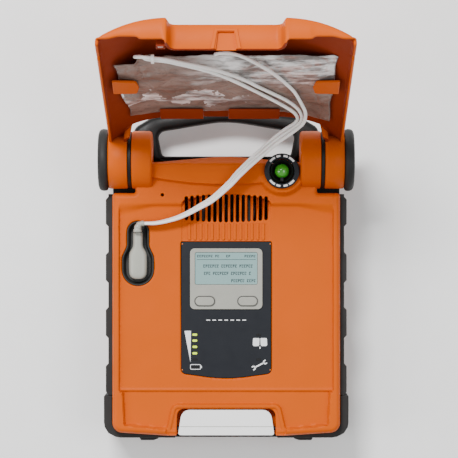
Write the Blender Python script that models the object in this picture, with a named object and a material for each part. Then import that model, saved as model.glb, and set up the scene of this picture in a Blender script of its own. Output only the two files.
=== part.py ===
"""Portable defibrillator lying on its back with its lid open.

Lengths are in millimetres until a piece is placed, which scales it to metres. +X is the device's right, +Y points to
the carrying handle, and +Z points out of the control face. The origin is the centre of the flat back.
The lid's pieces are modelled closed, in the hinge's own frame: x, minus the distance along the lid, and the height
over the hinge axis. The empty on the hinge axis turns them open.
"""
import math

import bmesh
import bpy
from mathutils import Matrix, Vector

MM = 0.001
GAP = 0.3

# Housing
HALF_WIDTH = 102.8
FOOT_END = -123.0
BULGE_END = -126.3
SIDE_TOP = 92.7
SHOULDER_HALF = 81.8
SHOULDER_END = 120.4
WALL = 3.4
FLOOR = 3.0
SPLIT_Z = 33.0
GASKET_TOP = 35.0
BEND_Z = 60.0
RIM_Z = 69.0
RIM_INSET = 5.8
FACE_Z = 66.0
LOWER_FACE_Z = 65.0
SHOULDER_Z = 77.0
RIDGE_MIDDLE = 96.0
RIDGE_RISE = 8.0

# Hinge
HINGE_Y = 122.7
HINGE_Z = 62.0
OPEN_ANGLE = 108.5
BARREL_RADIUS = 26.0
POST_INNER = 67.0
POST_OUTER = 85.0
EAR_INNER = 88.5
EAR_OUTER = 106.0
CAP_RADIUS = 28.0
CAP_END = 115.0
PIN_RADIUS = 4.0
BUSH_RADIUS = 8.0

# Lid
LID_HALF = 104.5
LID_LENGTH = 246.5
LID_WALL = 2.8
LID_RIM = 8.0
LID_END_RIM = 11.0
LID_EDGE_HEIGHT = 11.5
LID_FLAT_HALF = 42.0
LID_CROWN = 30.5
LID_ROLL = 2.3
LID_START = 33.0
NOTCH_HALF = 44.0
NOTCH_START = 232.5

# Panel and connector
PANEL_HALF = 40.4
PANEL_TOP = 48.8
PANEL_BOTTOM = -74.0
PANEL_Z = 66.6
BEZEL_HALF = 32.6
BEZEL_Y = (-12.0, 42.8)
BEZEL_Z = 68.0
DISPLAY_HALF = 27.9
DISPLAY_Y = (10.5, 39.0)
KEY_X = 19.3
KEY_Y = -4.7
KEY_HALF = 8.5
KEY_RADIUS = 3.85
KEY_TOP = 68.8
LIGHT_X = -28.3
LIGHT_YS = (-34.9, -40.3, -45.9, -51.7)
WARNING_X = 29.2
WARNING_YS = (-35.1, -57.4)
SOCKET_X = -79.6
STATUS = (49.9, 112.3)
STATUS_BALL_Z = 75.0
SPEAKER_Y = 79.0
SLOT_COUNT = 15
SLOT_PITCH = 5.13
SLOT_HALF = 1.55

# Latch
LATCH_PIN_Y = -120.0
LATCH_PIN_Z = 60.0
LATCH_PIN_RADIUS = 2.0

# Leads
LEAD_RADIUS = 1.5
STRAND_GAP = 3.4

SCREW_PLACES = ((-88, -108), (88, -108), (-50, 104), (50, 104))


def clear_scene():
    for item in list(bpy.data.objects):
        bpy.data.objects.remove(item, do_unlink=True)


def material(name, color, roughness, metallic=0.0):
    made = bpy.data.materials.new(name)
    made.use_nodes = True
    shader = made.node_tree.nodes["Principled BSDF"]
    shader.inputs["Base Color"].default_value = (*color, 1.0)
    shader.inputs["Roughness"].default_value = roughness
    shader.inputs["Metallic"].default_value = metallic
    return made


def to_shape(bm):
    bmesh.ops.recalc_face_normals(bm, faces=bm.faces)
    mesh = bpy.data.meshes.new("shape")
    bm.to_mesh(mesh)
    bm.free()
    shape = bpy.data.objects.new("shape", mesh)
    bpy.context.collection.objects.link(shape)
    return shape


def is_flat(face):
    face.normal_update()
    return all(abs((vert.co - face.verts[0].co).dot(face.normal)) < 1e-4 for vert in face.verts)


def layered(layers):
    """A closed solid through rings of points that all have the same count."""
    bm = bmesh.new()
    rings = [[bm.verts.new(point) for point in layer] for layer in layers]
    for low, high in zip(rings, rings[1:]):
        for i in range(len(low)):
            j = (i + 1) % len(low)
            bm.faces.new((low[i], low[j], high[j], high[i]))
    bmesh.ops.triangulate(bm, faces=[f for f in bm.faces if not is_flat(f)])
    bm.faces.new(rings[0])
    bm.faces.new(rings[-1])
    return to_shape(bm)


def prism(points, low, high, axis="Z"):
    """An outline pushed along an axis: (x, y) along Z, (y, z) along X, or (x, z) along Y."""
    place_point = {
        "Z": lambda u, v, w: (u, v, w),
        "X": lambda u, v, w: (w, u, v),
        "Y": lambda u, v, w: (u, w, v),
    }[axis]
    return layered([[place_point(u, v, w) for u, v in points] for w in (low, high)])


def box(x, y, z):
    return prism([(x[0], y[0]), (x[1], y[0]), (x[1], y[1]), (x[0], y[1])], z[0], z[1])


def turned(profile, centre=(0, 0, 0), axis="Z", sides=32, ring=False):
    """A profile of (radius, height) points turned about an axis; ring=True joins its last point to its first."""
    bm = bmesh.new()
    rings = []
    for radius, height in profile:
        count = 1 if radius == 0 else sides
        angles = [math.tau * i / sides for i in range(count)]
        rings.append([bm.verts.new((radius * math.cos(a), radius * math.sin(a), height)) for a in angles])
    pairs = list(zip(rings, rings[1:]))
    if ring:
        pairs.append((rings[-1], rings[0]))
    for low, high in pairs:
        for i in range(sides):
            j = i + 1
            corners = (low[i % len(low)], low[j % len(low)], high[j % len(high)], high[i % len(high)])
            corners = list(dict.fromkeys(corners))
            if len(corners) > 2:
                bm.faces.new(corners)
    turn = {"Z": Matrix(), "X": Matrix.Rotation(math.pi / 2, 4, "Y"), "Y": Matrix.Rotation(-math.pi / 2, 4, "X")}
    bm.transform(Matrix.Translation(centre) @ turn[axis])
    return to_shape(bm)


def rod(radius, low, high, centre=(0, 0, 0), axis="Z", sides=24):
    return turned([(0, low), (radius, low), (radius, high), (0, high)], centre, axis, sides)


def tube(inner, outer, low, high, centre=(0, 0, 0), axis="Z", sides=32):
    return turned([(inner, low), (outer, low), (outer, high), (inner, high)], centre, axis, sides, ring=True)


def combine(base, tool, operation):
    cut = base.modifiers.new("combine", "BOOLEAN")
    cut.object = tool
    cut.operation = operation
    cut.solver = "EXACT"
    bpy.context.view_layer.update()
    mesh = bpy.data.meshes.new_from_object(base.evaluated_get(bpy.context.evaluated_depsgraph_get()))
    base.modifiers.clear()
    base.data = mesh
    bpy.data.objects.remove(tool, do_unlink=True)
    return base


def cut_away(base, *tools):
    for tool in tools:
        combine(base, tool, "DIFFERENCE")
    return base


def fuse(base, *tools):
    for tool in tools:
        combine(base, tool, "UNION")
    return base


def rounded(corners, steps=4):
    """The outline through (x, y, radius) corners, with an arc at each corner that has a radius."""
    points = []
    for i, (x, y, radius) in enumerate(corners):
        here = Vector((x, y))
        before = (Vector(corners[i - 1][:2]) - here).normalized()
        after = (Vector(corners[(i + 1) % len(corners)][:2]) - here).normalized()
        if radius == 0:
            points.append((x, y))
            continue
        half = before.angle(after) / 2
        reach = radius / math.tan(half)
        centre = here + (before + after).normalized() * radius / math.sin(half)
        start = here + before * reach - centre
        end = here + after * reach - centre
        for step in range(steps + 1):
            arm = start.lerp(end, step / steps).normalized() * radius
            points.append(tuple(centre + arm))
    return points


def inset_corners(corners, inset):
    """Corners of a counter-clockwise outline moved inwards; its arcs keep their centres."""
    moved = []
    for i, (x, y, radius) in enumerate(corners):
        here = Vector((x, y))
        along = (here - Vector(corners[i - 1][:2])).normalized()
        onward = (Vector(corners[(i + 1) % len(corners)][:2]) - here).normalized()
        inward_a = Vector((-along.y, along.x))
        inward_b = Vector((-onward.y, onward.x))
        shift = (inward_a + inward_b) / (1 + inward_a.dot(inward_b)) * inset
        convex = along.cross(onward) > 0
        new_radius = max(radius - inset, 0.5) if convex else radius + inset
        moved.append((x + shift.x, y + shift.y, new_radius))
    return moved


def mirrored(half):
    """A symmetric outline from its right half, given from bottom to top."""
    return half + [(-x, y, radius) for x, y, radius in reversed(half)]


def arc(centre, radius, start, end, steps):
    angles = [math.radians(start + (end - start) * i / steps) for i in range(steps + 1)]
    return [(centre[0] + radius * math.cos(a), centre[1] + radius * math.sin(a)) for a in angles]


def place(name, shape, look, parent, origin=(0, 0, 0)):
    """Name a shape, scale it to metres and put its origin where it is asked."""
    mesh = shape.data
    mesh.transform(Matrix.Scale(MM, 4) @ Matrix.Translation(-Vector(origin)))
    shape.location = Vector(origin) * MM
    shape.parent = parent
    shape.name = name
    mesh.name = name
    mesh.materials.clear()
    mesh.materials.append(look)
    mesh.shade_smooth()
    mesh.set_sharp_from_angle(angle=math.radians(30))
    return shape


HOUSING_CORNERS = mirrored([
    (50, BULGE_END, 20),
    (HALF_WIDTH, FOOT_END, 9),
    (HALF_WIDTH, SIDE_TOP, 3),
    (SHOULDER_HALF, SIDE_TOP, 2),
    (SHOULDER_HALF, SHOULDER_END, 5),
])


def housing_layer(inset, z):
    return [(x, y, z) for x, y in rounded(inset_corners(HOUSING_CORNERS, inset))]


def key_outline(x, margin=0.0):
    radius = KEY_RADIUS + margin
    reach = KEY_HALF - KEY_RADIUS
    return arc((x + reach, KEY_Y), radius, -90, 90, 8) + arc((x - reach, KEY_Y), radius, 90, 270, 8)


def socket_outline(margin=0.0):
    """Keyhole: a small circle over a large one, joined by a waist."""
    upper = arc((SOCKET_X, 57.4), 10.2 + margin, -45, 225, 14)
    lower = arc((SOCKET_X, 23.7), 14.5 + margin, 130, 410, 16)
    waist = 7.6 + margin
    return [(SOCKET_X + waist, 45.0)] + upper + [(SOCKET_X - waist, 45.0)] + lower


def make_rear_housing(frame, looks):
    shape = layered([housing_layer(4, 0), housing_layer(0, 6), housing_layer(0, SPLIT_Z)])
    cut_away(shape, layered([housing_layer(WALL + 1, FLOOR), housing_layer(WALL, 6), housing_layer(WALL, 40)]))
    for x, y in SCREW_PLACES:
        fuse(shape, rod(5.5, 1.5, SPLIT_Z - GAP, (x, y, 0), sides=16))
        cut_away(shape, rod(4.0, -1, 4.5, (x, y, 0), sides=16), rod(1.9, 0, 40, (x, y, 0), sides=12))
    cut_away(shape, box((-46.4, 46.4), (-130, -118), (5.9, 30.1)))
    for side in (-1, 1):
        cut_away(shape, box(sorted((side * 63.7, side * 76.3)), (112, 130), (15.7, 28.3)))
    place("rear_housing", shape, looks["orange"], frame)
    seal = layered([housing_layer(0.8, SPLIT_Z + GAP), housing_layer(0.8, GASKET_TOP)])
    inner = [housing_layer(WALL - 0.8, z) for z in (SPLIT_Z - 1, GASKET_TOP + 1)]
    cut_away(seal, layered(inner))
    place("housing_gasket", seal, looks["rubber"], frame)


def make_front_housing(frame, looks):
    low = GASKET_TOP + GAP
    shape = layered([housing_layer(0, low), housing_layer(0, BEND_Z), housing_layer(RIM_INSET, RIM_Z)])
    cut_away(shape, layered([housing_layer(WALL, low - 5), housing_layer(WALL, FACE_Z - 4)]))
    ridge = [(x, RIDGE_MIDDLE + RIDGE_RISE * (x / SHOULDER_HALF) ** 2)
             for x in [SHOULDER_HALF * (i / 6 - 1) for i in range(13)]]
    ridge += [(SHOULDER_HALF, SHOULDER_END - 3), (SHOULDER_HALF - 3, SHOULDER_END)]
    ridge += [(3 - SHOULDER_HALF, SHOULDER_END), (-SHOULDER_HALF, SHOULDER_END - 3)]
    fuse(shape, prism(ridge, FACE_Z - 3, SHOULDER_Z))
    cut_away(shape, box((-64, 30), (107, 117), (50, SHOULDER_Z - 3)))
    fuse(shape, rod(14.5, 58, SHOULDER_Z - 0.4, (*STATUS, 0)))
    for side in (-1, 1):
        ends = sorted((side * POST_INNER, side * POST_OUTER))
        fuse(shape, rod(BARREL_RADIUS, *ends, (0, HINGE_Y, HINGE_Z), "X", 40))
        bore = sorted((side * 72.0, side * 90.0))
        cut_away(shape, rod(PIN_RADIUS + GAP, *bore, (0, HINGE_Y, HINGE_Z), "X", 16))
    fuse(shape, box((-50, 50), (-124, -97), (44, FACE_Z - 0.5)))
    for x, y in SCREW_PLACES:
        fuse(shape, rod(4.5, low, FACE_Z - 3, (x, y, 0), sides=16))
        cut_away(shape, rod(1.9, 30, 50, (x, y, 0), sides=12))
    face_profile = [(-114, 80), (-114, LOWER_FACE_Z), (-88, LOWER_FACE_Z), (-86, FACE_Z), (76, FACE_Z)]
    face_profile += [(84, RIM_Z + 0.2), (85, 80)]
    cut_away(
        shape,
        prism(face_profile, -94, 94, "X"),
        prism([(-40.5, 60), (40.5, 60), (40.5, 84)] + arc((0, 30), 62.5, 50, 130, 8) + [(-40.5, 84)],
              FACE_Z, 76),
        box((-44.2, 44.2), (-140, -101.8), (52.5, 80)),
        rod(LATCH_PIN_RADIUS + GAP, -49, 49, (0, LATCH_PIN_Y, LATCH_PIN_Z), "X", 16),
        prism(panel_outline(GAP), 50, 80),
        prism(socket_outline(GAP), 50, 80),
        rod(10.8, 40, 90, (*STATUS, 0), sides=32),
        rod(1.5, 55, 80, (-57.5, 91.0, 0), sides=12),
    )
    for i in range(SLOT_COUNT):
        x = (i - (SLOT_COUNT - 1) / 2) * SLOT_PITCH
        reach = 11.2 - 2.0 * (x / 36.0) ** 2
        ends = arc((x, SPEAKER_Y + reach), SLOT_HALF, 0, 180, 4)
        ends += arc((x, SPEAKER_Y - reach), SLOT_HALF, 180, 360, 4)
        cut_away(shape, prism(ends, 55, 80))
    place("front_housing", shape, looks["orange"], frame)


def panel_outline(margin=0.0):
    corners = [(PANEL_HALF, -70, 3.6), (PANEL_HALF, PANEL_TOP, 1.0)]
    outline = mirrored(corners) + [(-20, PANEL_BOTTOM, 10), (20, PANEL_BOTTOM, 10)]
    return rounded(inset_corners(outline, -margin), 3)


def make_bumpers(frame, looks):
    bumps = ((88, 64), (38, 13), (-12, -37), (-63, -88))
    outline = [(HALF_WIDTH + GAP, 92.0), (HALF_WIDTH + GAP, -90.1), (105.5, -90.1)]
    for top, bottom in reversed(bumps):
        outline += [(105.5, bottom - 1.5), (107.8, bottom + 1), (107.8, top - 1), (105.5, top + 1.5)]
    outline += [(105.5, 92.0)]
    for side, name in ((-1, "side_bumper_left"), (1, "side_bumper_right")):
        place(name, prism([(side * x, y) for x, y in outline], 12, 57), looks["rubber"], frame)
    boot = prism(rounded(mirrored([(109.7, -128.8, 14), (109.7, -90.5, 1)])), 10, 57)
    cut_away(
        boot,
        layered([housing_layer(-GAP - 0.05, 0), housing_layer(-GAP - 0.05, 70)]),
        box((-52, 52), (-140, -115), (0, 34)),
        box((-46, 46), (-140, -115), (50, 70)),
    )
    place("bottom_boot", boot, looks["rubber"], frame)
    for side, name in ((-1, "foot_left"), (1, "foot_right")):
        foot = [(62.5, -129.1), (61.4, -130.0), (66, -131.7), (77.5, -131.7), (79, -129.1)]
        place(name, prism([(side * x, y) for x, y in foot], 20, 50), looks["rubber"], frame)


def make_handle(frame, looks):
    outer = mirrored([(85, 121, 1), (85, 153, 8), (68, 163, 20)])
    outer = outer[:3] + [(0, 174, 120)] + outer[3:]
    inner = mirrored([(59, 127, 3), (64, 149.4, 6)])
    inner = inner[:2] + [(0, 160, 100)] + inner[2:]
    shape = cut_away(prism(rounded(outer), 12, 34), prism(rounded(inner), 0, 50))
    for side in (-1, 1):
        fuse(shape, box(sorted((side * 64, side * 76)), (106, 124), (16, 28)))
    place("handle", shape, looks["black"], frame)


def make_hinge(frame, lid, looks):
    axle = (0, HINGE_Y, HINGE_Z)
    for side, word in ((-1, "left"), (1, "right")):
        pin = rod(PIN_RADIUS, *sorted((side * 72.4, side * 105.0)), axle, "X", 16)
        place("hinge_pin_" + word, pin, looks["steel"], frame)
        bush = tube(PIN_RADIUS + GAP, BUSH_RADIUS, *sorted((side * 88.9, side * 105.5)), axis="X", sides=20)
        place("hinge_bush_" + word, bush, looks["bush"], lid)
        profile = [(0, 106.3), (26.5, 106.3), (CAP_RADIUS, 108), (CAP_RADIUS, 112), (25.5, CAP_END),
                   (0, CAP_END)]
        cap = turned([(radius, side * height) for radius, height in profile], axis="X", sides=40)
        place("hinge_cap_" + word, cap, looks["rubber"], lid)


def lid_section(s, inset, low):
    """The lid's cross-section: flat in the middle, rolling down to the rim at each side."""
    half = LID_HALF - inset
    drop = LID_CROWN - LID_EDGE_HEIGHT
    outline = [(half, -s, low)]
    for i in range(41):
        x = half * (1 - i / 20)
        fall = max(abs(x) - LID_FLAT_HALF, 0) / (half - LID_FLAT_HALF)
        outline.append((x, -s, LID_CROWN - inset - drop * fall ** LID_ROLL))
    return outline + [(-half, -s, low)]


def lid_plan(inset):
    """The lid seen from above: two arms at the hinge and a stepped-back middle at the free end."""
    half = LID_HALF - inset + 0.6
    end = -(LID_LENGTH - inset)
    notch = -(NOTCH_START - inset)
    corners = [(NOTCH_HALF + inset, notch, 4), (NOTCH_HALF + 3 + inset, end, 3), (half, end, 6)]
    if inset:
        corners += [(half, -44, 2), (86, -44, 2), (86, -15, 0)]
    else:
        corners += [(half, -14, 0), (EAR_INNER + 0.5, -14, 0), (EAR_INNER + 0.5, -LID_START, 4)]
    return rounded(mirrored(corners))


def make_lid(lid, looks):
    ends = (-5, LID_LENGTH + 5)
    outside = layered([lid_section(s, 0, LID_RIM) for s in ends])
    shape = combine(outside, prism(lid_plan(0), -30, 50), "INTERSECT")
    inside = layered([lid_section(s, LID_WALL, -10) for s in ends])
    hollow = combine(inside, prism(lid_plan(LID_WALL), -40, 60), "INTERSECT")
    cut_away(shape, hollow)
    for side in (-1, 1):
        wing = sorted((side * (NOTCH_HALF + 9), side * (LID_HALF - 8)))
        cut_away(shape, box(wing, (-LID_LENGTH - 5, -LID_LENGTH + LID_WALL + 2), (0, LID_END_RIM)))
    for side in (-1, 1):
        ends = sorted((side * EAR_INNER, side * EAR_OUTER))
        fuse(shape, tube(BUSH_RADIUS + GAP, BARREL_RADIUS, *ends, axis="X", sides=40))
    catch = [(-9, 0), (9, 0), (6.5, LID_RIM + 15.4), (-6.5, LID_RIM + 15.4)]
    cut_away(shape, prism(catch, -NOTCH_START - 5, -NOTCH_START + 1.4, "Y"))
    place("lid_shell", shape, looks["orange"], lid)


def make_lid_fittings(lid, looks):
    for side, word in ((-1, "left"), (1, "right")):
        clip = [(95, -134), (95, -160.5), (76, -159), (73, -155), (73, -139), (76, -135.5)]
        shape = prism([(side * x, y) for x, y in clip], 9.3, 11.4)
        place("pouch_clip_" + word, shape, looks["orange"], lid)
    for word, x in (("lower_left", (-58, -20)), ("lower_right", (2, 47))):
        hook = [(-48, 26.3), (-48, 20.6), (-70, 20.6), (-70, 22.2), (-49.8, 22.2), (-49.8, 26.3)]
        place("pouch_clip_" + word, prism(hook, *x, "X"), looks["orange"], lid)
    seat = box((-54.8, -49.8), (-235.6, -231.4), (8, 13))
    holder = cut_away(box((-56, -48.6), (-237, -230), (9, 15)), seat)
    place("magnet_holder", holder, looks["black"], lid)
    place("lid_magnet", box((-54.5, -50.1), (-235.3, -231.7), (9.5, 12.7)), looks["steel"], lid)
    tucked = dict(half=84, side=17.8, low=23, edge=19)
    bulged = dict(half=91, side=12, low=12, edge=15.2)
    sections = [pouch_section(52, **tucked), pouch_section(74, **tucked), pouch_section(112, **bulged),
                pouch_section(197, **bulged)]
    place("pads_pouch", layered(sections), looks["foil"], lid)


def pouch_section(s, half, side, low, edge):
    """The pouch across the lid: its open side from side to low, its back against the lid's inner face."""
    near = [(-half, side), (-60, low), (60, low), (half, side)]
    back = [(half, edge), (76, 21.5), (60, 25), (-60, 25), (-76, 21.5), (-half, edge)]
    return [(x, -s, h) for x, h in near + back]


def smooth_route(points, spacing):
    """Points a fixed step apart on a smooth curve through the route's own points."""
    knots = [Vector(p) for p in points]
    knots = [knots[0] * 2 - knots[1]] + knots + [knots[-1] * 2 - knots[-2]]
    fine = []
    for a, b, c, d in zip(knots, knots[1:], knots[2:], knots[3:]):
        for i in range(24):
            t = i / 24
            fine.append(0.5 * (2 * b + (c - a) * t + (2 * a - 5 * b + 4 * c - d) * t ** 2
                               + (3 * b - a - 3 * c + d) * t ** 3))
    fine.append(knots[-2])
    lengths = [0.0]
    for a, b in zip(fine, fine[1:]):
        lengths.append(lengths[-1] + (b - a).length)
    count = round(lengths[-1] / spacing)
    route = []
    k = 0
    for i in range(count + 1):
        target = min(lengths[-1] * i / count, lengths[-1] - 1e-6)
        while lengths[k + 1] < target:
            k += 1
        route.append(fine[k].lerp(fine[k + 1], (target - lengths[k]) / (lengths[k + 1] - lengths[k])))
    return route


# The three leads run side by side from the connector, over the shoulder and into the lid.
BUNDLE_ROUTE = (
    (-73.4, 65.3, 72.2), (-61.5, 65.9, 72.6), (-47.1, 69.3, 74.0), (-35.6, 73.9, 76.0), (-23.5, 80.4, 78.8),
    (-11.8, 87.4, 82.0), (3.2, 100.7, 86.0), (10.5, 108.8, 88.5), (21.7, 119.6, 93.0), (32.6, 129.1, 99.5),
    (43.5, 138.3, 107.5), (54.1, 145.8, 117.0),
)
# Inside the lid each lead has its own way, as x, distance along the lid and height over the hinge axis.
LID_ROUTES = {
    "lead_long": (
        (62.6, 70.5, 3.2), (67.6, 81.0, 5.0), (68.3, 96.0, 7.5), (64.0, 114.3, 9.2), (57.3, 137.9, 10.2),
        (47.5, 160.8, 10.2), (36.7, 181.1, 10.2), (26.2, 196.5, 10.3), (16.0, 204.4, 12.6), (5.0, 206.4, 15.6),
        (-4.2, 203.8, 17.0), (-9.0, 200.0, 17.6),
    ),
    "lead_middle": (
        (61.6, 68.8, 6.2), (65.6, 79.0, 8.0), (64.2, 91.5, 9.6), (59.8, 103.5, 10.2), (52.0, 117.4, 10.2),
        (41.1, 131.6, 10.2), (26.8, 148.7, 10.2), (12.9, 166.1, 10.2), (-4.3, 181.1, 10.2), (-21.2, 192.0, 10.2),
        (-39.8, 202.1, 10.2), (-49.8, 207.4, 10.2), (-60.0, 209.4, 10.4), (-68.2, 210.6, 10.8), (-73.6, 207.5, 12.2),
        (-73.4, 202.6, 14.4), (-69.6, 200.0, 16.2),
    ),
    "lead_short": (
        (60.0, 67.6, 9.2), (62.2, 76.6, 10.0), (59.8, 87.5, 10.2), (54.2, 98.5, 10.2), (41.4, 117.0, 10.2),
        (27.0, 136.0, 10.2), (13.0, 153.4, 10.2), (-4.3, 173.0, 10.2), (-21.3, 186.6, 10.2), (-39.9, 197.9, 10.2),
        (-49.9, 203.1, 10.2), (-60.1, 205.2, 10.4), (-65.6, 205.6, 11.4), (-67.0, 203.2, 13.6), (-64.0, 200.0, 15.8),
    ),
}


def lid_point(x, s, h):
    """A point of the lid's frame, in the housing's frame with the lid open."""
    lean = math.radians(OPEN_ANGLE - 90)
    y = HINGE_Y + s * math.sin(lean) + h * math.cos(lean)
    return (x, y, HINGE_Z + s * math.cos(lean) - h * math.sin(lean))


def strand_route(index, name):
    """One strand of the bundle: stacked in height at the connector, beside each other at the lid."""
    points = []
    last = len(BUNDLE_ROUTE) - 1
    for i, point in enumerate(BUNDLE_ROUTE):
        ahead = Vector(BUNDLE_ROUTE[min(i + 1, last)]) - Vector(BUNDLE_ROUTE[max(i - 1, 0)])
        side = ahead.cross(Vector((0, 0, 1))).normalized()
        up = side.cross(ahead).normalized()
        turn = math.radians(90 - 62 * i / last)
        offset = (side * math.cos(turn) + up * math.sin(turn)) * STRAND_GAP * index
        points.append(tuple(Vector(point) + offset))
    return points + [lid_point(*p) for p in LID_ROUTES[name]]


def make_leads(frame, lid, looks):
    for index, name in ((1, "lead_long"), (0, "lead_middle"), (-1, "lead_short")):
        route = smooth_route(strand_route(index, name), 7.0)
        curve = bpy.data.curves.new(name, "CURVE")
        curve.dimensions = "3D"
        curve.bevel_depth = LEAD_RADIUS * MM
        curve.bevel_resolution = 2
        curve.use_fill_caps = True
        spline = curve.splines.new("POLY")
        spline.points.add(len(route) - 1)
        for knot, point in zip(spline.points, route):
            knot.co = (*(point * MM), 1.0)
        curve.materials.append(looks["white"])
        lead = bpy.data.objects.new(name, curve)
        bpy.context.collection.objects.link(lead)
        lead.parent = frame
    middle = (-207.3, 10.4)
    reach = 2.1
    inner = LEAD_RADIUS + 0.55
    outline = [arc((middle[0] + reach, middle[1]), r, -90, 90, 6)
               + arc((middle[0] - reach, middle[1]), r, 90, 270, 6)
               for r in (inner + 1.0, inner)]
    tie = cut_away(prism(outline[0], -60.8, -58.4, "X"), prism(outline[1], -64, -56, "X"))
    place("lead_tie", tie, looks["white"], lid)


def make_connector(frame, looks):
    cup = cut_away(prism(socket_outline(), 54, FACE_Z + 0.5), prism(socket_outline(-1.6), 55.6, 80))
    place("pad_socket", cup, looks["black"], frame)
    x = SOCKET_X
    body = [(x + 4.2, 57.5), (x - 4.2, 57.5), (x - 4.2, 44.5), (x - 7.8, 32), (x - 7.4, 20), (x - 3.4, 15)]
    body += [(x + 3.4, 15), (x + 7.4, 20), (x + 7.8, 32), (x + 4.2, 44.5)]
    place("pad_plug", prism(body, 56.2, 70.5), looks["grey"], frame)
    bend = [(x + 3.9, 57.9), (x + 3.9, 60.5), (x + 5.8, 62.4), (x + 5.9, 68.0), (x + 0.5, 66.6), (x - 3.4, 63.5)]
    place("plug_boot", prism(bend + [(x - 3.9, 57.9)], 66.8, 77.8), looks["grey"], frame)


def make_panel(frame, looks):
    plate = prism(panel_outline(), 62.4, PANEL_Z)
    low, high = DISPLAY_Y
    glass = mirrored([(DISPLAY_HALF, low, 1.2), (DISPLAY_HALF, high, 1.2)])
    window = rounded(inset_corners(glass, -GAP))
    cut_away(plate, prism(window, 50, 80))
    bezel_outline = rounded(mirrored([(BEZEL_HALF, BEZEL_Y[0], 4), (BEZEL_HALF, BEZEL_Y[1], 4)]))
    bezel = prism(bezel_outline, PANEL_Z + GAP, BEZEL_Z)
    cut_away(bezel, prism(window, 50, 80))
    for side in (-1, 1):
        for piece in (plate, bezel):
            cut_away(piece, prism(key_outline(side * KEY_X, GAP), 50, 80))
    lights = [("battery_light_%d" % (i + 1), LIGHT_X, y) for i, y in enumerate(LIGHT_YS)]
    lights += [("pads_light", WARNING_X, WARNING_YS[0]), ("service_light", WARNING_X, WARNING_YS[1])]
    for name, x, y in lights:
        outline = rounded(mirrored([(2.1, -1.0, 0.8), (2.1, 1.0, 0.8)]), 2)
        cut_away(plate, prism([(x + u * 1.16, y + v * 1.3) for u, v in outline], 50, 80))
        shape = prism([(x + u, y + v) for u, v in outline], 61, PANEL_Z + 0.4)
        place(name, shape, looks["lamp"], frame)
    place("control_panel", plate, looks["navy"], frame)
    place("display_bezel", bezel, looks["grey"], frame)
    screen = prism(rounded(glass), 60, BEZEL_Z - 0.5)
    place("display", screen, looks["display"], frame)


def make_key(name, x, looks, axis_empty):
    stem = prism(key_outline(x), 58.6, KEY_TOP)
    place(name, stem, looks["grey"], axis_empty)


def make_status(frame, ball_axis, looks):
    centre = (*STATUS, 0)
    ring = tube(11.0, 15.8, SHOULDER_Z + GAP, 81.2, centre, sides=40)
    place("status_ring", ring, looks["black"], frame)
    hollow = 7.4
    bowl = [(0, 64.5), (10.3, 64.5), (10.3, 79.5), (9.6, 79.5)]
    bowl += [(hollow * math.cos(a), STATUS_BALL_Z - hollow * math.sin(a)) for a in (0.0, 0.4, 0.8, 1.2)]
    bowl += [(0, STATUS_BALL_Z - hollow)]
    place("status_dish", turned(bowl, centre, sides=32), looks["black"], frame)
    radius = 6.6
    profile = [(radius * math.sin(math.pi * i / 8), -radius * math.cos(math.pi * i / 8)) for i in range(9)]
    profile[0] = (0, -radius)
    profile[-1] = (0, radius)
    ball = turned(profile, sides=20)
    place("status_ball", ball, looks["green"], ball_axis)


def make_inside(frame, battery_axis, looks):
    basket = [(20, 56), (26, 58.6), (26, 61.4), (24, 61.4), (24, 59.8), (18.5, 57.6), (9, 47), (9, 44),
              (11, 44), (11, 46.6)]
    place("speaker_frame", turned(basket, (0, SPEAKER_Y - 2, 0), sides=28, ring=True), looks["steel"], frame)
    cone = [(0, 52.5), (6, 50.8), (20, 60.0), (23.4, 60.6), (23.4, 61.4), (19.6, 61.2), (6, 52.6), (0, 54)]
    place("speaker_cone", turned(cone, (0, SPEAKER_Y - 2, 0), sides=28), looks["black"], frame)
    place("main_board", box((-62, 70), (-94, 44), (51.6, 53.2)), looks["board"], frame)
    place("storage_capacitor", rod(17, -70, -4, (78, 0, 21), "Y", 28), looks["steel"], frame)
    place("transformer", box((-92, -60), (-88, -50), (5, 32)), looks["copper"], frame)
    room = box((-46.4, 46.4), (-130, -11), (5.9, 30.1))
    sleeve = cut_away(box((-49.5, 49.5), (-118.5, -8), (3.4, 32.6)), room)
    place("battery_bay", sleeve, looks["black"], frame)
    pack = prism(rounded(mirrored([(46, 6.4, 2), (46, 29.6, 2)]), 2), -123.5, -12, "Y")
    place("battery_pack", pack, looks["black"], battery_axis)
    for i, (x, y) in enumerate(SCREW_PLACES):
        profile = [(0, 1.2), (3.4, 1.2), (3.4, 4.2), (1.5, 4.2), (1.5, 46), (0, 46)]
        place("housing_screw_%d" % (i + 1), turned(profile, (x, y, 0), sides=12), looks["steel"], frame)
    for side, word in ((-1, "left"), (1, "right")):
        dome = [(0, 55.5), (4.5, 55.5), (4.2, 56.6), (2.0, 57.4), (0, 57.5)]
        place("key_dome_" + word, turned(dome, (side * KEY_X, KEY_Y, 0), sides=12), looks["steel"], frame)


def make_latch(frame, latch_axis, looks):
    outline = rounded(mirrored([(43.4, -125.5, 2), (40, -102.8, 8)]))
    shape = prism([(x, y) for x, y in outline], 56, 67.4)
    cut_away(shape, rod(LATCH_PIN_RADIUS + GAP, -50, 50, (0, LATCH_PIN_Y, LATCH_PIN_Z), "X", 16))
    shape.data.transform(Matrix.Translation((0, -LATCH_PIN_Y, -LATCH_PIN_Z)))
    place("latch", shape, looks["white"], latch_axis)
    pin = rod(LATCH_PIN_RADIUS, -48.5, 48.5, (0, LATCH_PIN_Y, LATCH_PIN_Z), "X", 12)
    place("latch_pin", pin, looks["steel"], frame)
    leaf = [(-114, 52.9), (-104, 52.9), (-104, 53.5), (-112.8, 53.5), (-105, 55.2), (-105.2, 55.7), (-114, 53.8)]
    place("latch_spring", prism(leaf, -8, 8, "X"), looks["steel"], frame)


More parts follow.
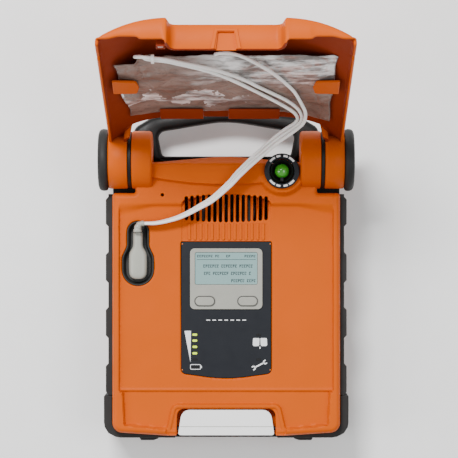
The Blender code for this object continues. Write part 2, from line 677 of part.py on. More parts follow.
def joint_empty(name, parent, at, turn=0.0):
    empty = bpy.data.objects.new(name, None)
    empty.location = Vector(at) * MM
    empty.rotation_euler = (math.radians(turn), 0, 0)
    empty.parent = parent
    bpy.context.collection.objects.link(empty)
    return empty


def build():
    clear_scene()
    looks = {
        "orange": material("orange_plastic", (0.83, 0.22, 0.02), 0.45),
        "rubber": material("dark_rubber", (0.05, 0.05, 0.05), 0.8),
        "black": material("black_plastic", (0.02, 0.02, 0.022), 0.5),
        "navy": material("panel_navy", (0.035, 0.042, 0.055), 0.5),
        "grey": material("warm_grey", (0.48, 0.48, 0.42), 0.5),
        "white": material("white_plastic", (0.86, 0.86, 0.84), 0.4),
        "display": material("display_glass", (0.38, 0.55, 0.56), 0.3),
        "lamp": material("lamp_lens", (0.55, 0.75, 0.1), 0.3),
        "green": material("status_green", (0.05, 0.5, 0.04), 0.2),
        "foil": material("pouch_foil", (0.5, 0.42, 0.38), 0.4),
        "steel": material("steel", (0.6, 0.6, 0.6), 0.35, 1.0),
        "copper": material("winding", (0.6, 0.3, 0.12), 0.5),
        "bush": material("bush_plastic", (0.8, 0.8, 0.76), 0.5),
        "board": material("circuit_board", (0.02, 0.2, 0.08), 0.6),
    }
    frame = joint_empty("housing_frame", None, (0, 0, 0))
    lid = joint_empty("lid_hinge_axis", frame, (0, HINGE_Y, HINGE_Z), -OPEN_ANGLE)
    latch_axis = joint_empty("latch_axis", frame, (0, LATCH_PIN_Y, LATCH_PIN_Z))
    ball_axis = joint_empty("status_ball_axis", frame, (*STATUS, STATUS_BALL_Z))
    battery_axis = joint_empty("battery_axis", frame, (0, 0, 0))
    make_rear_housing(frame, looks)
    make_front_housing(frame, looks)
    make_bumpers(frame, looks)
    make_handle(frame, looks)
    make_hinge(frame, lid, looks)
    make_lid(lid, looks)
    make_lid_fittings(lid, looks)
    make_leads(frame, lid, looks)
    make_connector(frame, looks)
    make_panel(frame, looks)
    for side, word in ((-1, "left"), (1, "right")):
        make_key("soft_key_" + word, side * KEY_X, looks, joint_empty("key_axis_" + word, frame, (0, 0, 0)))
    make_status(frame, ball_axis, looks)
    make_inside(frame, battery_axis, looks)
    make_latch(frame, latch_axis, looks)


build()
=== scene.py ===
"""Looks of the portable defibrillator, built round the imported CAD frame.

Lengths are in millimetres until a mesh is made, which scales them to metres. The lid's pieces are drawn
closed, in the hinge's own frame (x, distance along the lid s, height h), and lid_matrix() turns them open.
"""
import math

import bmesh
import bpy
import numpy as np
from mathutils import Matrix, Vector, geometry


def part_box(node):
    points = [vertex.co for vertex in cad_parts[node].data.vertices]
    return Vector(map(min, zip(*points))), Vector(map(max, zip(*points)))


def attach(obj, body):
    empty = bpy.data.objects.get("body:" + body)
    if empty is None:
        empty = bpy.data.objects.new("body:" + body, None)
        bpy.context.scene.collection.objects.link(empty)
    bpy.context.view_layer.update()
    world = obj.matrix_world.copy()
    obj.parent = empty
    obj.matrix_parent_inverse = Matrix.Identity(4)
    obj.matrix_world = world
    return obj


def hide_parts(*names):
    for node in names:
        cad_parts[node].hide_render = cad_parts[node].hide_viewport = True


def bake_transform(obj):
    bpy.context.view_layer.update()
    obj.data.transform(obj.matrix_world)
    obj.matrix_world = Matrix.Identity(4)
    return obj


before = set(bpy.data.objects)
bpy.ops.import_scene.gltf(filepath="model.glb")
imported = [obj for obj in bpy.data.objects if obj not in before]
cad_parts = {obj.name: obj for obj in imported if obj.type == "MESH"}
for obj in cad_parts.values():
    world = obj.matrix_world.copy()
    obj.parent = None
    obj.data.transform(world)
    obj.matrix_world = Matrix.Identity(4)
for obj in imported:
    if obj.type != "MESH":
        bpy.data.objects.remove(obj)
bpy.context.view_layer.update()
MM = 0.001
SIDES = ((-1, "left"), (1, "right"))
looks = {}

# Hinge: its axis, how far the open lid leans back, and the radii of posts, pin holes and ear bores.
HINGE_Y = 122.7
HINGE_Z = 62.0
LEAN = math.radians(18.5)
BARREL = 26.0
PIN_HOLE = 4.4
EAR_BORE = 8.4

# Heights of the front housing's fields, its skirt, the control panel and the display.
FACE_Z = 66.0
UPPER_Z = 70.0
BORDER_Z = UPPER_Z - 0.4
SHOULDER_Z = 77.0
SKIRT_Z = 35.3
GRILLE_Z = FACE_Z - 0.7
PANEL_Z = 66.6
DISPLAY_Z = 67.5

# Plan of the front housing.
HALF_WIDTH = 102.8
SHOULDER_HALF = 81.8
SHOULDER_END = 120.4
LATCH_HALF = 44.2
LATCH_TOP = -101.8
SOCKET_X = -79.6
STATUS = (49.9, 112.3)
SLOTS = 15
SLOT_PITCH = 5.13

# Closed lid: half width, length, height of its rim, wall, height of its crown, start of the notch in its end,
# and top of the catch's recess.
LID_HALF = 104.5
LID_END = 246.5
LID_RIM = 8.0
LID_WALL = 2.8
LID_CROWN = 30.5
NOTCH_START = 232.5
CATCH_TOP = 23.4

POUCH_COLUMNS = 110
POUCH_ROWS = 84

LEAD_RADIUS = 1.5
STRAND_GAP = 3.4


# ---------------------------------------------------------------- camera, light, floor

def add_camera():
    data = bpy.data.cameras.new("camera")
    data.lens = 166
    data.sensor_width = 36
    data.clip_end = 10
    camera = bpy.data.objects.new("camera", data)
    camera.location = (0.0025, 0.0603, 1.97)
    bpy.context.collection.objects.link(camera)
    bpy.context.scene.camera = camera


def add_area(name, location, target, size, power):
    data = bpy.data.lights.new(name, "AREA")
    data.shape = "RECTANGLE"
    data.size, data.size_y = size
    data.energy = power
    light = bpy.data.objects.new(name, data)
    light.location = location
    light.rotation_euler = (Vector(target) - Vector(location)).to_track_quat("-Z", "Y").to_euler()
    bpy.context.collection.objects.link(light)


def add_studio():
    add_area("key", (-0.45, 1.0, 1.7), (0, 0, 0.05), (0.7, 0.35), 48)
    add_area("fill", (0.9, -0.1, 1.5), (0, 0, 0.05), (0.8, 0.8), 8)
    add_area("left", (-1.2, -0.2, 1.1), (0, 0, 0.08), (0.5, 0.8), 8)
    world = bpy.data.worlds.new("studio")
    world.use_nodes = True
    background = world.node_tree.nodes["Background"]
    background.inputs["Color"].default_value = (1, 1, 1, 1)
    background.inputs["Strength"].default_value = 0.6
    bpy.context.scene.world = world
    looks["floor"] = Look("floor_pale", (0.92, 0.92, 0.915), 0.7).tint(30, 0.01)
    side = 6.0
    corners = [(-side, -side, 0), (side, -side, 0), (side, side, 0), (-side, side, 0)]
    floor_mesh = bpy.data.meshes.new("floor")
    floor_mesh.from_pydata(corners, [], [(0, 1, 2, 3)])
    linked("floor", floor_mesh, "floor")


# ---------------------------------------------------------------- materials

class Look:
    """A Principled material with procedural colour, roughness and bump in object space."""

    def __init__(self, name, color, roughness, metallic=0.0):
        self.material = bpy.data.materials.new(name)
        self.material.use_nodes = True
        self.tree = self.material.node_tree
        self.shader = self.tree.nodes["Principled BSDF"]
        self.color = color
        self.roughness = roughness
        self.shader.inputs["Base Color"].default_value = (*color, 1)
        self.shader.inputs["Roughness"].default_value = roughness
        self.shader.inputs["Metallic"].default_value = metallic
        self.where = self.tree.nodes.new("ShaderNodeTexCoord").outputs["Object"]
        self.normal = None

    def add(self, kind, **values):
        node = self.tree.nodes.new(kind)
        for key, value in values.items():
            setattr(node, key, value)
        return node

    def feed(self, socket, value):
        """Link a socket to another node's output, or set it to a number or a colour."""
        if isinstance(value, bpy.types.NodeSocket):
            self.tree.links.new(value, socket)
        elif isinstance(value, (tuple, list)):
            socket.default_value = (*value, 1)
        else:
            socket.default_value = value

    def paint(self, **values):
        """Feed the Principled shader's inputs by name."""
        for key, value in values.items():
            self.feed(self.shader.inputs[key.replace("_", " ")], value)
        return self

    def noise(self, scale, detail=4.0, rough=0.5, stretch=None):
        texture = self.add("ShaderNodeTexNoise")
        texture.inputs["Scale"].default_value = scale
        texture.inputs["Detail"].default_value = detail
        texture.inputs["Roughness"].default_value = rough
        where = self.where
        if stretch:
            mapping = self.add("ShaderNodeMapping")
            mapping.inputs["Scale"].default_value = stretch
            self.feed(mapping.inputs["Vector"], where)
            where = mapping.outputs["Vector"]
        self.feed(texture.inputs["Vector"], where)
        return texture.outputs["Fac"]

    def ramp(self, value, low, high, out_low, out_high):
        node = self.add("ShaderNodeMapRange")
        numbers = {"Value": value, "From Min": low, "From Max": high, "To Min": out_low, "To Max": out_high}
        for key, number in numbers.items():
            self.feed(node.inputs[key], number)
        return node.outputs["Result"]

    def mix(self, factor, a, b, kind="RGBA"):
        """From a to b along a 0 to 1 factor."""
        node = self.add("ShaderNodeMix", data_type=kind)
        for key, value in (("Factor", factor), ("A", a), ("B", b)):
            self.feed(node.inputs[key], value)
        return node.outputs["Result"]

    def math(self, operation, *values):
        node = self.add("ShaderNodeMath", operation=operation)
        for socket, value in zip(node.inputs, values):
            self.feed(socket, value)
        return node.outputs["Value"]

    def tint(self, scale, amount):
        """Let the colour wander lighter and darker by a share of itself."""
        value = self.ramp(self.noise(scale, 3.0), 0.3, 0.7, 0.0, 1.0)
        dark = [c * (1 - amount) for c in self.color]
        light = [min(c * (1 + amount), 1.0) for c in self.color]
        return self.paint(Base_Color=self.mix(value, dark, light))

    def gloss(self, scale, amount):
        """Let the roughness wander up and down by an amount."""
        low, high = self.roughness - amount, self.roughness + amount
        return self.paint(Roughness=self.ramp(self.noise(scale, 3.0), 0.3, 0.7, low, high))

    def bump(self, value, depth):
        node = self.add("ShaderNodeBump")
        node.inputs["Strength"].default_value = 1.0
        node.inputs["Distance"].default_value = depth * MM
        self.feed(node.inputs["Height"], value)
        if self.normal:
            self.feed(node.inputs["Normal"], self.normal)
        self.normal = node.outputs["Normal"]
        return self.paint(Normal=self.normal)


def add_look(key, name, color, roughness, tint, gloss, *grains, **settings):
    """A moulded or printed look. Its tint, gloss and grains are each a texture's scale and an amount."""
    look = Look(name, color, roughness).tint(*tint).gloss(*gloss)
    for scale, depth in grains:
        look.bump(look.noise(scale, 2.0), depth)
    looks[key] = look.paint(**settings)


def make_looks():
    coarse, fine = (350, 0.02), (1900, 0.035)
    add_look("orange", "orange_plastic", (0.54, 0.085, 0.0), 0.45, (14, 0.035), (60, 0.04),
             fine, coarse, Specular_IOR_Level=0.10)
    # The inside look is a darker copy of the orange plastic: painted shade for the lid's inner faces and for
    # the clips and magnet cup within it.
    add_look("inner", "orange_plastic_painted_shade", (0.22, 0.021, 0.001), 0.5, (14, 0.05), (60, 0.04),
             fine, coarse, Specular_IOR_Level=0.16)
    add_look("rubber", "dark_rubber", (0.015, 0.0145, 0.014), 0.62, (40, 0.18), (90, 0.07), (2600, 0.05),
             Specular_IOR_Level=0.3)
    add_look("black", "black_plastic", (0.006, 0.006, 0.007), 0.45, (40, 0.2), (80, 0.08), (2200, 0.03),
             Specular_IOR_Level=0.3)
    add_look("handle", "handle_plastic", (0.005, 0.005, 0.005), 0.5, (30, 0.2), (80, 0.08), (1500, 0.06),
             Specular_IOR_Level=0.25)
    add_look("navy", "panel_overlay", (0.0065, 0.008, 0.012), 0.5, (60, 0.06), (120, 0.05), (4200, 0.015),
             Specular_IOR_Level=0.25)
    add_look("socket", "socket_plastic", (0.022, 0.023, 0.0215), 0.5, (60, 0.1), (80, 0.06), (2400, 0.03))
    add_look("grey", "warm_grey_plastic", (0.30, 0.30, 0.262), 0.4, (60, 0.03), (120, 0.05), (3600, 0.02))
    add_look("plug", "plug_plastic", (0.33, 0.335, 0.29), 0.34, (40, 0.04), (80, 0.05), (2400, 0.03))
    add_look("white", "white_plastic", (0.93, 0.93, 0.925), 0.3, (20, 0.02), (60, 0.05), (2600, 0.02))
    add_look("lead", "lead_jacket", (0.90, 0.885, 0.86), 0.38, (60, 0.05), (120, 0.06), (900, 0.03),
             Subsurface_Weight=0.08, Subsurface_Scale=0.002)
    add_look("mark", "printed_light", (0.78, 0.79, 0.80), 0.5, (300, 0.05), (300, 0.05))
    add_look("key_rim", "key_rim", (0.065, 0.065, 0.06), 0.5, (300, 0.1), (300, 0.05))
    add_look("dot", "printed_orange", (0.55, 0.14, 0.02), 0.5, (300, 0.05), (300, 0.05))
    add_look("ink", "display_ink", (0.015, 0.035, 0.04), 0.4, (300, 0.1), (300, 0.05))
    add_look("lamp", "lamp_lens", (0.50, 0.66, 0.03), 0.25, (500, 0.08), (400, 0.05),
             Emission_Color=(0.6, 0.85, 0.04), Emission_Strength=0.8)
    add_look("unlit", "lamp_lens_unlit", (0.005, 0.005, 0.006), 0.25, (500, 0.1), (400, 0.05))
    add_look("display", "display_glass", (0.215, 0.345, 0.34), 0.22, (18, 0.03), (40, 0.03), (6000, 0.004),
             Coat_Weight=0.5, Coat_Roughness=0.08)
    looks["steel"] = Look("brushed_steel", (0.58, 0.58, 0.59), 0.32, 1.0).gloss(200, 0.08)
    looks["steel"].bump(looks["steel"].noise(1400, 3.0, 0.6, (1, 1, 0.04)), 0.02)
    looks["winding"] = Look("transformer_wrap", (0.62, 0.42, 0.10), 0.45).tint(90, 0.1).gloss(100, 0.08)
    looks["winding"].bump(looks["winding"].noise(900, 2.0, 0.5, (0.02, 1, 1)), 0.12)
    looks["board"] = make_board_look()
    looks["ball"] = make_ball_look()
    looks["foil"] = make_foil_look()


def make_board_look():
    """Green board with lighter traces along one way."""
    look = Look("circuit_board", (0.015, 0.13, 0.05), 0.4).gloss(150, 0.08)
    traces = look.ramp(look.noise(260, 1.0, 0.4, (1, 0.3, 1)), 0.5, 0.53, 0.0, 1.0)
    return look.paint(Base_Color=look.mix(traces, (0.012, 0.12, 0.045), (0.03, 0.26, 0.09)))


def make_ball_look():
    """Green on the half that faces out of the device, red on the half that hides in it."""
    look = Look("status_ball_two_colours", (0.06, 0.42, 0.03), 0.16).gloss(300, 0.04)
    axes = look.add("ShaderNodeSeparateXYZ")
    look.feed(axes.inputs["Vector"], look.where)
    low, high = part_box("status_ball")
    middle = (low.z + high.z) / 2
    side = look.ramp(axes.outputs["Z"], middle - 0.0002, middle + 0.0002, 0.0, 1.0)
    wander = look.ramp(look.noise(260, 2.0), 0.3, 0.7, 0.0, 1.0)
    green = look.mix(wander, (0.022, 0.22, 0.008), (0.055, 0.34, 0.02))
    color = look.mix(side, (0.45, 0.02, 0.012), green)
    return look.paint(Base_Color=color, Coat_Weight=0.6, Coat_Roughness=0.06)


def make_foil_look():
    """Foil laminate: silvery along its far end and in a crumpled streak, a dull pink-brown elsewhere. The
    streak is partly bare foil and partly a painted highlight, and its crumples carry painted highlights and
    shade.
    """
    look = Look("pouch_foil", (0.55, 0.48, 0.45), 0.36)
    place = look.add("ShaderNodeAttribute", attribute_name="sheet_place")
    axes = look.add("ShaderNodeSeparateXYZ")
    look.feed(axes.inputs["Vector"], place.outputs["Vector"])
    across = axes.outputs["X"]
    along = look.math("ADD", axes.outputs["Y"], look.ramp(look.noise(28, 4.0, 0.6), 0.3, 0.7, -0.13, 0.13))
    far_end = look.ramp(along, 0.60, 0.68, 0.0, 1.0)
    bare_end = look.math("MULTIPLY", far_end, look.ramp(across, 0.25, 0.5, 0.0, 1.0))
    # Painted highlight: a bright band across the middle of the foil, partly bare silver foil.
    middle = look.math("COMPARE", along, 0.34, 0.15)
    streak = look.math("MULTIPLY", middle, look.ramp(across, 0.5, 0.66, 1.0, 0.0))
    bare_foil_and_glint = look.math("MAXIMUM", bare_end, streak)
    level = look.ramp(look.noise(42, 5.0, 0.6, (0.7, 1.3, 1.3)), 0.35, 0.65, 0.0, 1.0)
    # Painted highlights and shade on the crumples: the silver runs from dark to near white.
    crumple_light_and_shade = look.ramp(look.noise(95, 5.0, 0.62, (0.4, 1.5, 1.5)), 0.42, 0.58, 0.0, 1.0)
    silver_glint_and_shade = look.mix(crumple_light_and_shade, (0.19, 0.172, 0.165), (0.80, 0.79, 0.78))
    printed = look.mix(level, (0.125, 0.080, 0.063), (0.25, 0.18, 0.152))
    flecks = look.ramp(look.noise(420, 2.0, 0.4, (0.5, 1, 1)), 0.63, 0.67, 0.0, 0.55)
    marked = look.mix(flecks, printed, (0.07, 0.055, 0.05))
    look.paint(Base_Color=look.mix(bare_foil_and_glint, marked, silver_glint_and_shade), Roughness=look.ramp(bare_foil_and_glint, 0.0, 1.0, 0.42, 0.3),
               Metallic=look.ramp(bare_foil_and_glint, 0.0, 1.0, 0.12, 0.3))
    swirl = look.add("ShaderNodeTexNoise")
    swirl.inputs["Scale"].default_value = 40
    look.feed(swirl.inputs["Vector"], look.where)
    crease = look.add("ShaderNodeTexVoronoi", feature="DISTANCE_TO_EDGE")
    crease.inputs["Scale"].default_value = 60
    look.feed(crease.inputs["Vector"], look.mix(0.03, look.where, swirl.outputs["Color"], "VECTOR"))
    look.bump(look.ramp(crease.outputs["Distance"], 0.0, 0.22, 0.0, 1.0), 0.4)
    return look.bump(look.noise(200, 5.0, 0.6, (0.7, 1.4, 1.4)), 0.3)


# ---------------------------------------------------------------- mesh helpers

def linked(name, mesh, look):
    """A new object in the scene, with its mesh named after it and given a look."""
    obj = bpy.data.objects.new(name, mesh)
    mesh.name = name
    mesh.materials.append(looks[look].material)
    bpy.context.collection.objects.link(obj)
    return obj


def add_piece(name, mesh, look, body, smooth_angle=40, node=None):
    """A piece that rides on a body and may stand for a CAD node."""
    piece = linked(name, mesh, look)
    mesh.shade_smooth()
    mesh.set_sharp_from_angle(angle=math.radians(smooth_angle))
    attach(piece, body)
    if node:
        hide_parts(node)
    return piece


def mesh_of(points, faces):
    """A mesh in metres from points in millimetres."""
    mesh = bpy.data.meshes.new("piece")
    mesh.from_pydata([tuple(c * MM for c in p) for p in points], [], faces)
    mesh.validate()
    return mesh


def reworked(mesh, *steps):
    """Run bmesh steps on a mesh."""
    bm = bmesh.new()
    bm.from_mesh(mesh)
    for step in steps:
        step(bm)
    bm.to_mesh(mesh)
    bm.free()
    return mesh


def face_out(bm):
    bmesh.ops.recalc_face_normals(bm, faces=bm.faces)


def solid(points, faces):
    return reworked(mesh_of(points, faces), face_out)


def bevelled(piece, width, segments=3):
    bevel = piece.modifiers.new("edges", "BEVEL")
    bevel.width = width * MM
    bevel.segments = segments
    bevel.limit_method = "ANGLE"
    bevel.angle_limit = math.radians(32)
    bevel.use_clamp_overlap = True
    bevel.miter_outer = "MITER_ARC"
    return piece


def refined(name, node, look, body, width, segments=3):
    """A CAD node's own shape with its facets merged and its edges rounded."""
    bm = bmesh.new()
    bm.from_mesh(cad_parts[node].data)
    bmesh.ops.remove_doubles(bm, verts=bm.verts, dist=0.00001)
    bmesh.ops.dissolve_limit(bm, angle_limit=math.radians(1.0), verts=bm.verts, edges=bm.edges)
    mesh = bpy.data.meshes.new(name)
    bm.to_mesh(mesh)
    bm.free()
    return bevelled(add_piece(name, mesh, look, body, 35, node), width, segments)


def rounded(corners, steps=8):
    """The outline through (x, y, radius) corners, with an arc at each corner that has a radius."""
    points = []
    for i, (x, y, radius) in enumerate(corners):
        here = Vector((x, y))
        before = (Vector(corners[i - 1][:2]) - here).normalized()
        after = (Vector(corners[(i + 1) % len(corners)][:2]) - here).normalized()
        if radius == 0:
            points.append((x, y))
            continue
        half = before.angle(after) / 2
        reach = radius / math.tan(half)
        centre = here + (before + after).normalized() * radius / math.sin(half)
        start = here + before * reach - centre
        end = here + after * reach - centre
        for step in range(steps + 1):
            points.append(tuple(centre + start.lerp(end, step / steps).normalized() * radius))
    return points


def inset_corners(corners, inset):
    """Corners of a counter-clockwise outline moved inwards; its arcs keep their centres."""
    moved = []
    for i, (x, y, radius) in enumerate(corners):
        here = Vector((x, y))
        along = (here - Vector(corners[i - 1][:2])).normalized()
        onward = (Vector(corners[(i + 1) % len(corners)][:2]) - here).normalized()
        inward = Vector((-along.y, along.x)), Vector((-onward.y, onward.x))
        shift = (inward[0] + inward[1]) / (1 + inward[0].dot(inward[1])) * inset
        new_radius = radius + inset * (-1 if along.cross(onward) > 0 else 1)
        moved.append((x + shift.x, y + shift.y, max(new_radius, 0.4)))
    return moved


def mirrored(half, apex=None):
    """Corners of an outline from its right half, with an optional corner on the middle line."""
    middle = [apex] if apex else []
    return half + middle + [(-x, y, radius) for x, y, radius in reversed(half)]


def arc(centre, radius, start, end, steps):
    angles = [math.radians(start + (end - start) * i / steps) for i in range(steps + 1)]
    return [(centre[0] + radius * math.cos(a), centre[1] + radius * math.sin(a)) for a in angles]


def rectangle(x0, x1, y0, y1, radius=0.3):
    return rounded([(x0, y0, radius), (x1, y0, radius), (x1, y1, radius), (x0, y1, radius)], 3)


def dense_loops(corners, insets, step):
    """One loop per inset, all with the same count, with points about a step apart."""
    base = [Vector(p) for p in rounded(inset_corners(corners, 0))]
    counts = [max(1, round((b - a).length / step)) for a, b in zip(base, base[1:] + base[:1])]
    loops = []
    for inset in insets:
        outline = rounded(inset_corners(corners, inset))
        loop = []
        for i, count in enumerate(counts):
            a, b = Vector(outline[i]), Vector(outline[(i + 1) % len(outline)])
            loop += [tuple(a.lerp(b, k / count)) for k in range(count)]
        loops.append(loop)
    return loops


def dense(loop, step):
    """A closed loop with points no more than a step apart."""
    result = []
    for a, b in zip(loop, loop[1:] + loop[:1]):
        count = max(1, math.ceil((Vector(b) - Vector(a)).length / step))
        result += [tuple(Vector(a).lerp(Vector(b), k / count)) for k in range(count)]
    return result


def offset_loop(loop, distance):
    """A closed loop's points moved along its normals; positive is to the left of its direction."""
    points = np.array(loop)
    along = np.roll(points, -1, 0) - np.roll(points, 1, 0)
    along /= np.linalg.norm(along, axis=1)[:, None]
    normal = np.stack([-along[:, 1], along[:, 0]], 1)
    return [tuple(p) for p in points + normal * distance]


def distance_to(points, loop, closed=True):
    """Each point's distance to a polyline."""
    best = np.full(len(points), 1e9)
    count = len(loop) if closed else len(loop) - 1
    for i in range(count):
        a = np.array(loop[i])
        b = np.array(loop[(i + 1) % len(loop)])
        ab = b - a
        t = np.clip(((points - a) @ ab) / max(ab @ ab, 1e-12), 0, 1)
        best = np.minimum(best, np.linalg.norm(points - a - t[:, None] * ab, axis=1))
    return best


def inside(points, loop):
    """Whether each point lies in a closed loop."""
    x, y = points[:, 0], points[:, 1]
    result = np.zeros(len(points), bool)
    for i in range(len(loop)):
        (x1, y1), (x2, y2) = loop[i - 1], loop[i]
        if y1 == y2:
            continue
        crosses = (y1 > y) != (y2 > y)
        result ^= crosses & (x < (x2 - x1) * (y - y1) / (y2 - y1) + x1)
    return result


def near_only(points, loop, margin, measure, far):
    """A measure against a loop, taken only for the points near its box."""
    low = np.min(loop, 0) - margin
    high = np.max(loop, 0) + margin
    close = np.all((points > low) & (points < high), axis=1)
    result = np.full(len(points), far, dtype=float)
    if close.any():
        result[close] = measure(points[close], loop)
    return result


def depth_in(points, loop, margin):
    """Signed distance into a closed loop, positive inside; -9 far away."""
    def signed(near, line):
        return distance_to(near, line) * np.where(inside(near, line), 1, -1)

    return near_only(points, loop, margin, signed, -9)


def conforming(outer, holes, spacing, support=()):
    """A flat triangle mesh that fills outer less its holes, through the loops, support points and a grid.

    Returns the points, the faces, and for each loop its points' places in that list.
    """
    def covered(points, loop):
        return inside(points, loop) | (distance_to(points, loop) < spacing * 0.45)

    loops = [outer] + list(holes)
    low, high = np.min(outer, 0), np.max(outer, 0)
    xs = np.arange(low[0], high[0], spacing)
    ys = np.arange(low[1], high[1], spacing * 0.866)
    grid = np.array([(x + (spacing / 2 if j % 2 else 0), y) for j, y in enumerate(ys) for x in xs])
    grid = grid[inside(grid, outer) & (distance_to(grid, outer) > spacing * 0.5)]
    for loop in holes:
        grid = grid[near_only(grid, loop, spacing, covered, 0) < 0.5]
    extra = [p for ring in support for p in ring]
    if extra:
        extra = np.array(extra)
        extra = extra[inside(extra, outer)]
        for loop in holes:
            extra = extra[near_only(extra, loop, spacing, inside, 0) < 0.5]
        taken = {tuple(c) for c in np.round(extra / spacing * 1.6).astype(int)}
        cells = np.round(grid / spacing * 1.6).astype(int)
        grid = grid[[tuple(c) not in taken for c in cells]]
    coords, edges, starts = [], [], []
    for loop in loops:
        start = len(coords)
        starts.append(start)
        coords += [Vector(p) for p in loop]
        edges += [(start + i, start + (i + 1) % len(loop)) for i in range(len(loop))]
    coords += [Vector(p) for p in extra]
    coords += [Vector(p) for p in grid]
    verts, _, faces, origin, _, _ = geometry.delaunay_2d_cdt(coords, edges, [], 0, 1e-4)
    points = np.array([tuple(v) for v in verts])
    where = {source: place for place, sources in enumerate(origin) for source in sources}
    faces = np.array(faces)
    centres = points[faces].mean(1)
    wanted = inside(centres, outer)
    for loop in holes:
        wanted &= near_only(centres, loop, 1, inside, 0) < 0.5
    rings = [[where[start + i] for i in range(len(loop))] for start, loop in zip(starts, loops)]
    return points, [tuple(f) for f in faces[wanted]], rings


def smooth(value):
    value = np.clip(value, 0, 1)
    return value * value * (3 - 2 * value)


def roll(distance, width, drop):
    """How far a rounded edge has fallen at a distance from the rim: drop at 0, nothing from width on."""
    t = np.clip((width - distance) / width, 0, 1)
    return drop * (1 - np.sqrt(np.clip(1 - t * t, 0, 1)))


def add_rings(points, faces, ring, layers):
    """Continue a loop of places through new rings of points; returns the last ring's places."""
    for layer in layers:
        start = len(points)
        points.extend(layer)
        fresh = list(range(start, start + len(layer)))
        for i in range(len(ring)):
            j = (i + 1) % len(ring)
            faces.append((ring[i], ring[j], fresh[j], fresh[i]))
        ring = fresh
    return ring


def loft(rings):
    """A closed solid through rings of points that all have the same count."""
    points = list(rings[0])
    faces = []
    first = list(range(len(points)))
    last = add_rings(points, faces, first, rings[1:])
    return solid(points, faces + [first, last])


def turned_mesh(profile, centre=(0, 0, 0), axis="Z", sides=72, closed_ring=False):
    """A profile of (radius, height) points turned about Z or X."""
    points, faces, rings = [], [], []
    turns = [math.tau * i / sides for i in range(sides)]
    for radius, height in profile:
        around = turns[:1] if radius == 0 else turns
        rings.append(range(len(points), len(points) + len(around)))
        points += [(radius * math.cos(a), radius * math.sin(a), height) for a in around]
    pairs = list(zip(rings, rings[1:])) + ([(rings[-1], rings[0])] if closed_ring else [])
    for low, high in pairs:
        for i in range(sides):
            j = i + 1
            corners = [low[i % len(low)], low[j % len(low)], high[j % len(high)], high[i % len(high)]]
            corners = list(dict.fromkeys(corners))
            if len(corners) > 2:
                faces.append(corners)
    turn = Matrix.Rotation(math.pi / 2, 4, "Y") if axis == "X" else Matrix()
    place = Matrix.Translation(centre) @ turn
    return solid([place @ Vector(p) for p in points], faces)


def hinge_turned(profile, side, closed_ring=False):
    """A profile of (radius, distance from the middle) points turned about the hinge's axis."""
    return turned_mesh([(r, side * x) for r, x in profile], (0, HINGE_Y, HINGE_Z), "X", 96, closed_ring)


def lid_matrix():
    """Takes (x, -s, h) of the closed lid, in millimetres, to the open lid."""
    return Matrix.Translation((0, HINGE_Y, HINGE_Z)) @ Matrix.Rotation(-(math.pi / 2 + LEAN), 4, "X")


def lid_point(x, s, h):
    return lid_matrix() @ Vector((x, -s, h))


def prism_mesh(outline, low, high, matrix=Matrix()):
    """An (x, y) outline pushed between two heights."""
    return loft([[matrix @ Vector((x, y, z)) for x, y in outline] for z in (low, high)])


def end_prism(outline, near, far):
    """An (x, height) outline pushed along the lid between two distances from the hinge."""
    return loft([[lid_point(x, s, h) for x, h in outline] for s in (near, far)])


def box_mesh(x, y, z):
    return prism_mesh([(x[0], y[0]), (x[1], y[0]), (x[1], y[1]), (x[0], y[1])], z[0], z[1])


# ---------------------------------------------------------------- front housing

TOP_APEX = (0, 126.4, 160)
BOTTOM_CORNER = (HALF_WIDTH, -123, 9)
SHOULDER_CORNERS = [(HALF_WIDTH, 92.7, 3), (SHOULDER_HALF, 92.7, 2), (SHOULDER_HALF, SHOULDER_END, 5),
                    (62, SHOULDER_END, 12)]
LATCH_CORNERS = [(LATCH_HALF, LATCH_TOP, 6.5), (LATCH_HALF + 0.6, -126.1, 0.8), (52, -126.25, 10)]
OUTLINE = mirrored([(50, -126.3, 20), BOTTOM_CORNER] + SHOULDER_CORNERS, TOP_APEX)
NOTCHED = mirrored(LATCH_CORNERS + [BOTTOM_CORNER] + SHOULDER_CORNERS, TOP_APEX)
GRILLE = rounded([(-40.3, 86, 5), (-40.3, 49.3, 0.5), (40.3, 49.3, 0.5), (40.3, 86, 5), (0, 94.2, 120)])
SURROUND = rounded(mirrored([(54.6, -124.4, 2), (48.4, -97.6, 7)]))


def panel_outline(margin):
    """The control panel: straight at its top and sides, bowed at its bottom."""
    left = [(-40.4, 48.8, 1.0), (-40.4, -69.6, 4.0)]
    return rounded(inset_corners(left + [(0, -75.2, 130), (40.4, -69.6, 4.0), (40.4, 48.8, 1.0)], -margin))


def socket_outline(margin=0.0):
    """A keyhole: straight sides under a round top, flaring into a wider round bottom."""
    heights = (47, 45, 43, 41, 39, 37, 35, 33, 31)
    right = [(SOCKET_X + 9.7 + margin + 4.5 * float(smooth((47.0 - y) / 14.0)), y) for y in heights]
    upper = arc((SOCKET_X, 57.6), 9.7 + margin, 0, 180, 24)
    lower = arc((SOCKET_X, 23.5), 14.2 + margin, 180, 360, 32)
    left = [(2 * SOCKET_X - x, y) for x, y in right]
    return right[::-1] + upper + left + lower


def slot_outlines():
    """The speaker slots: upright ovals, shorter towards the sides."""
    outlines = []
    for i in range(SLOTS):
        x = (i - SLOTS // 2) * SLOT_PITCH
        reach = 11.2 - 2.0 * (x / 36.0) ** 2
        outlines.append(arc((x, 79 + reach), 1.5, 0, 180, 8) + arc((x, 79 - reach), 1.5, 180, 360, 8))
    return outlines


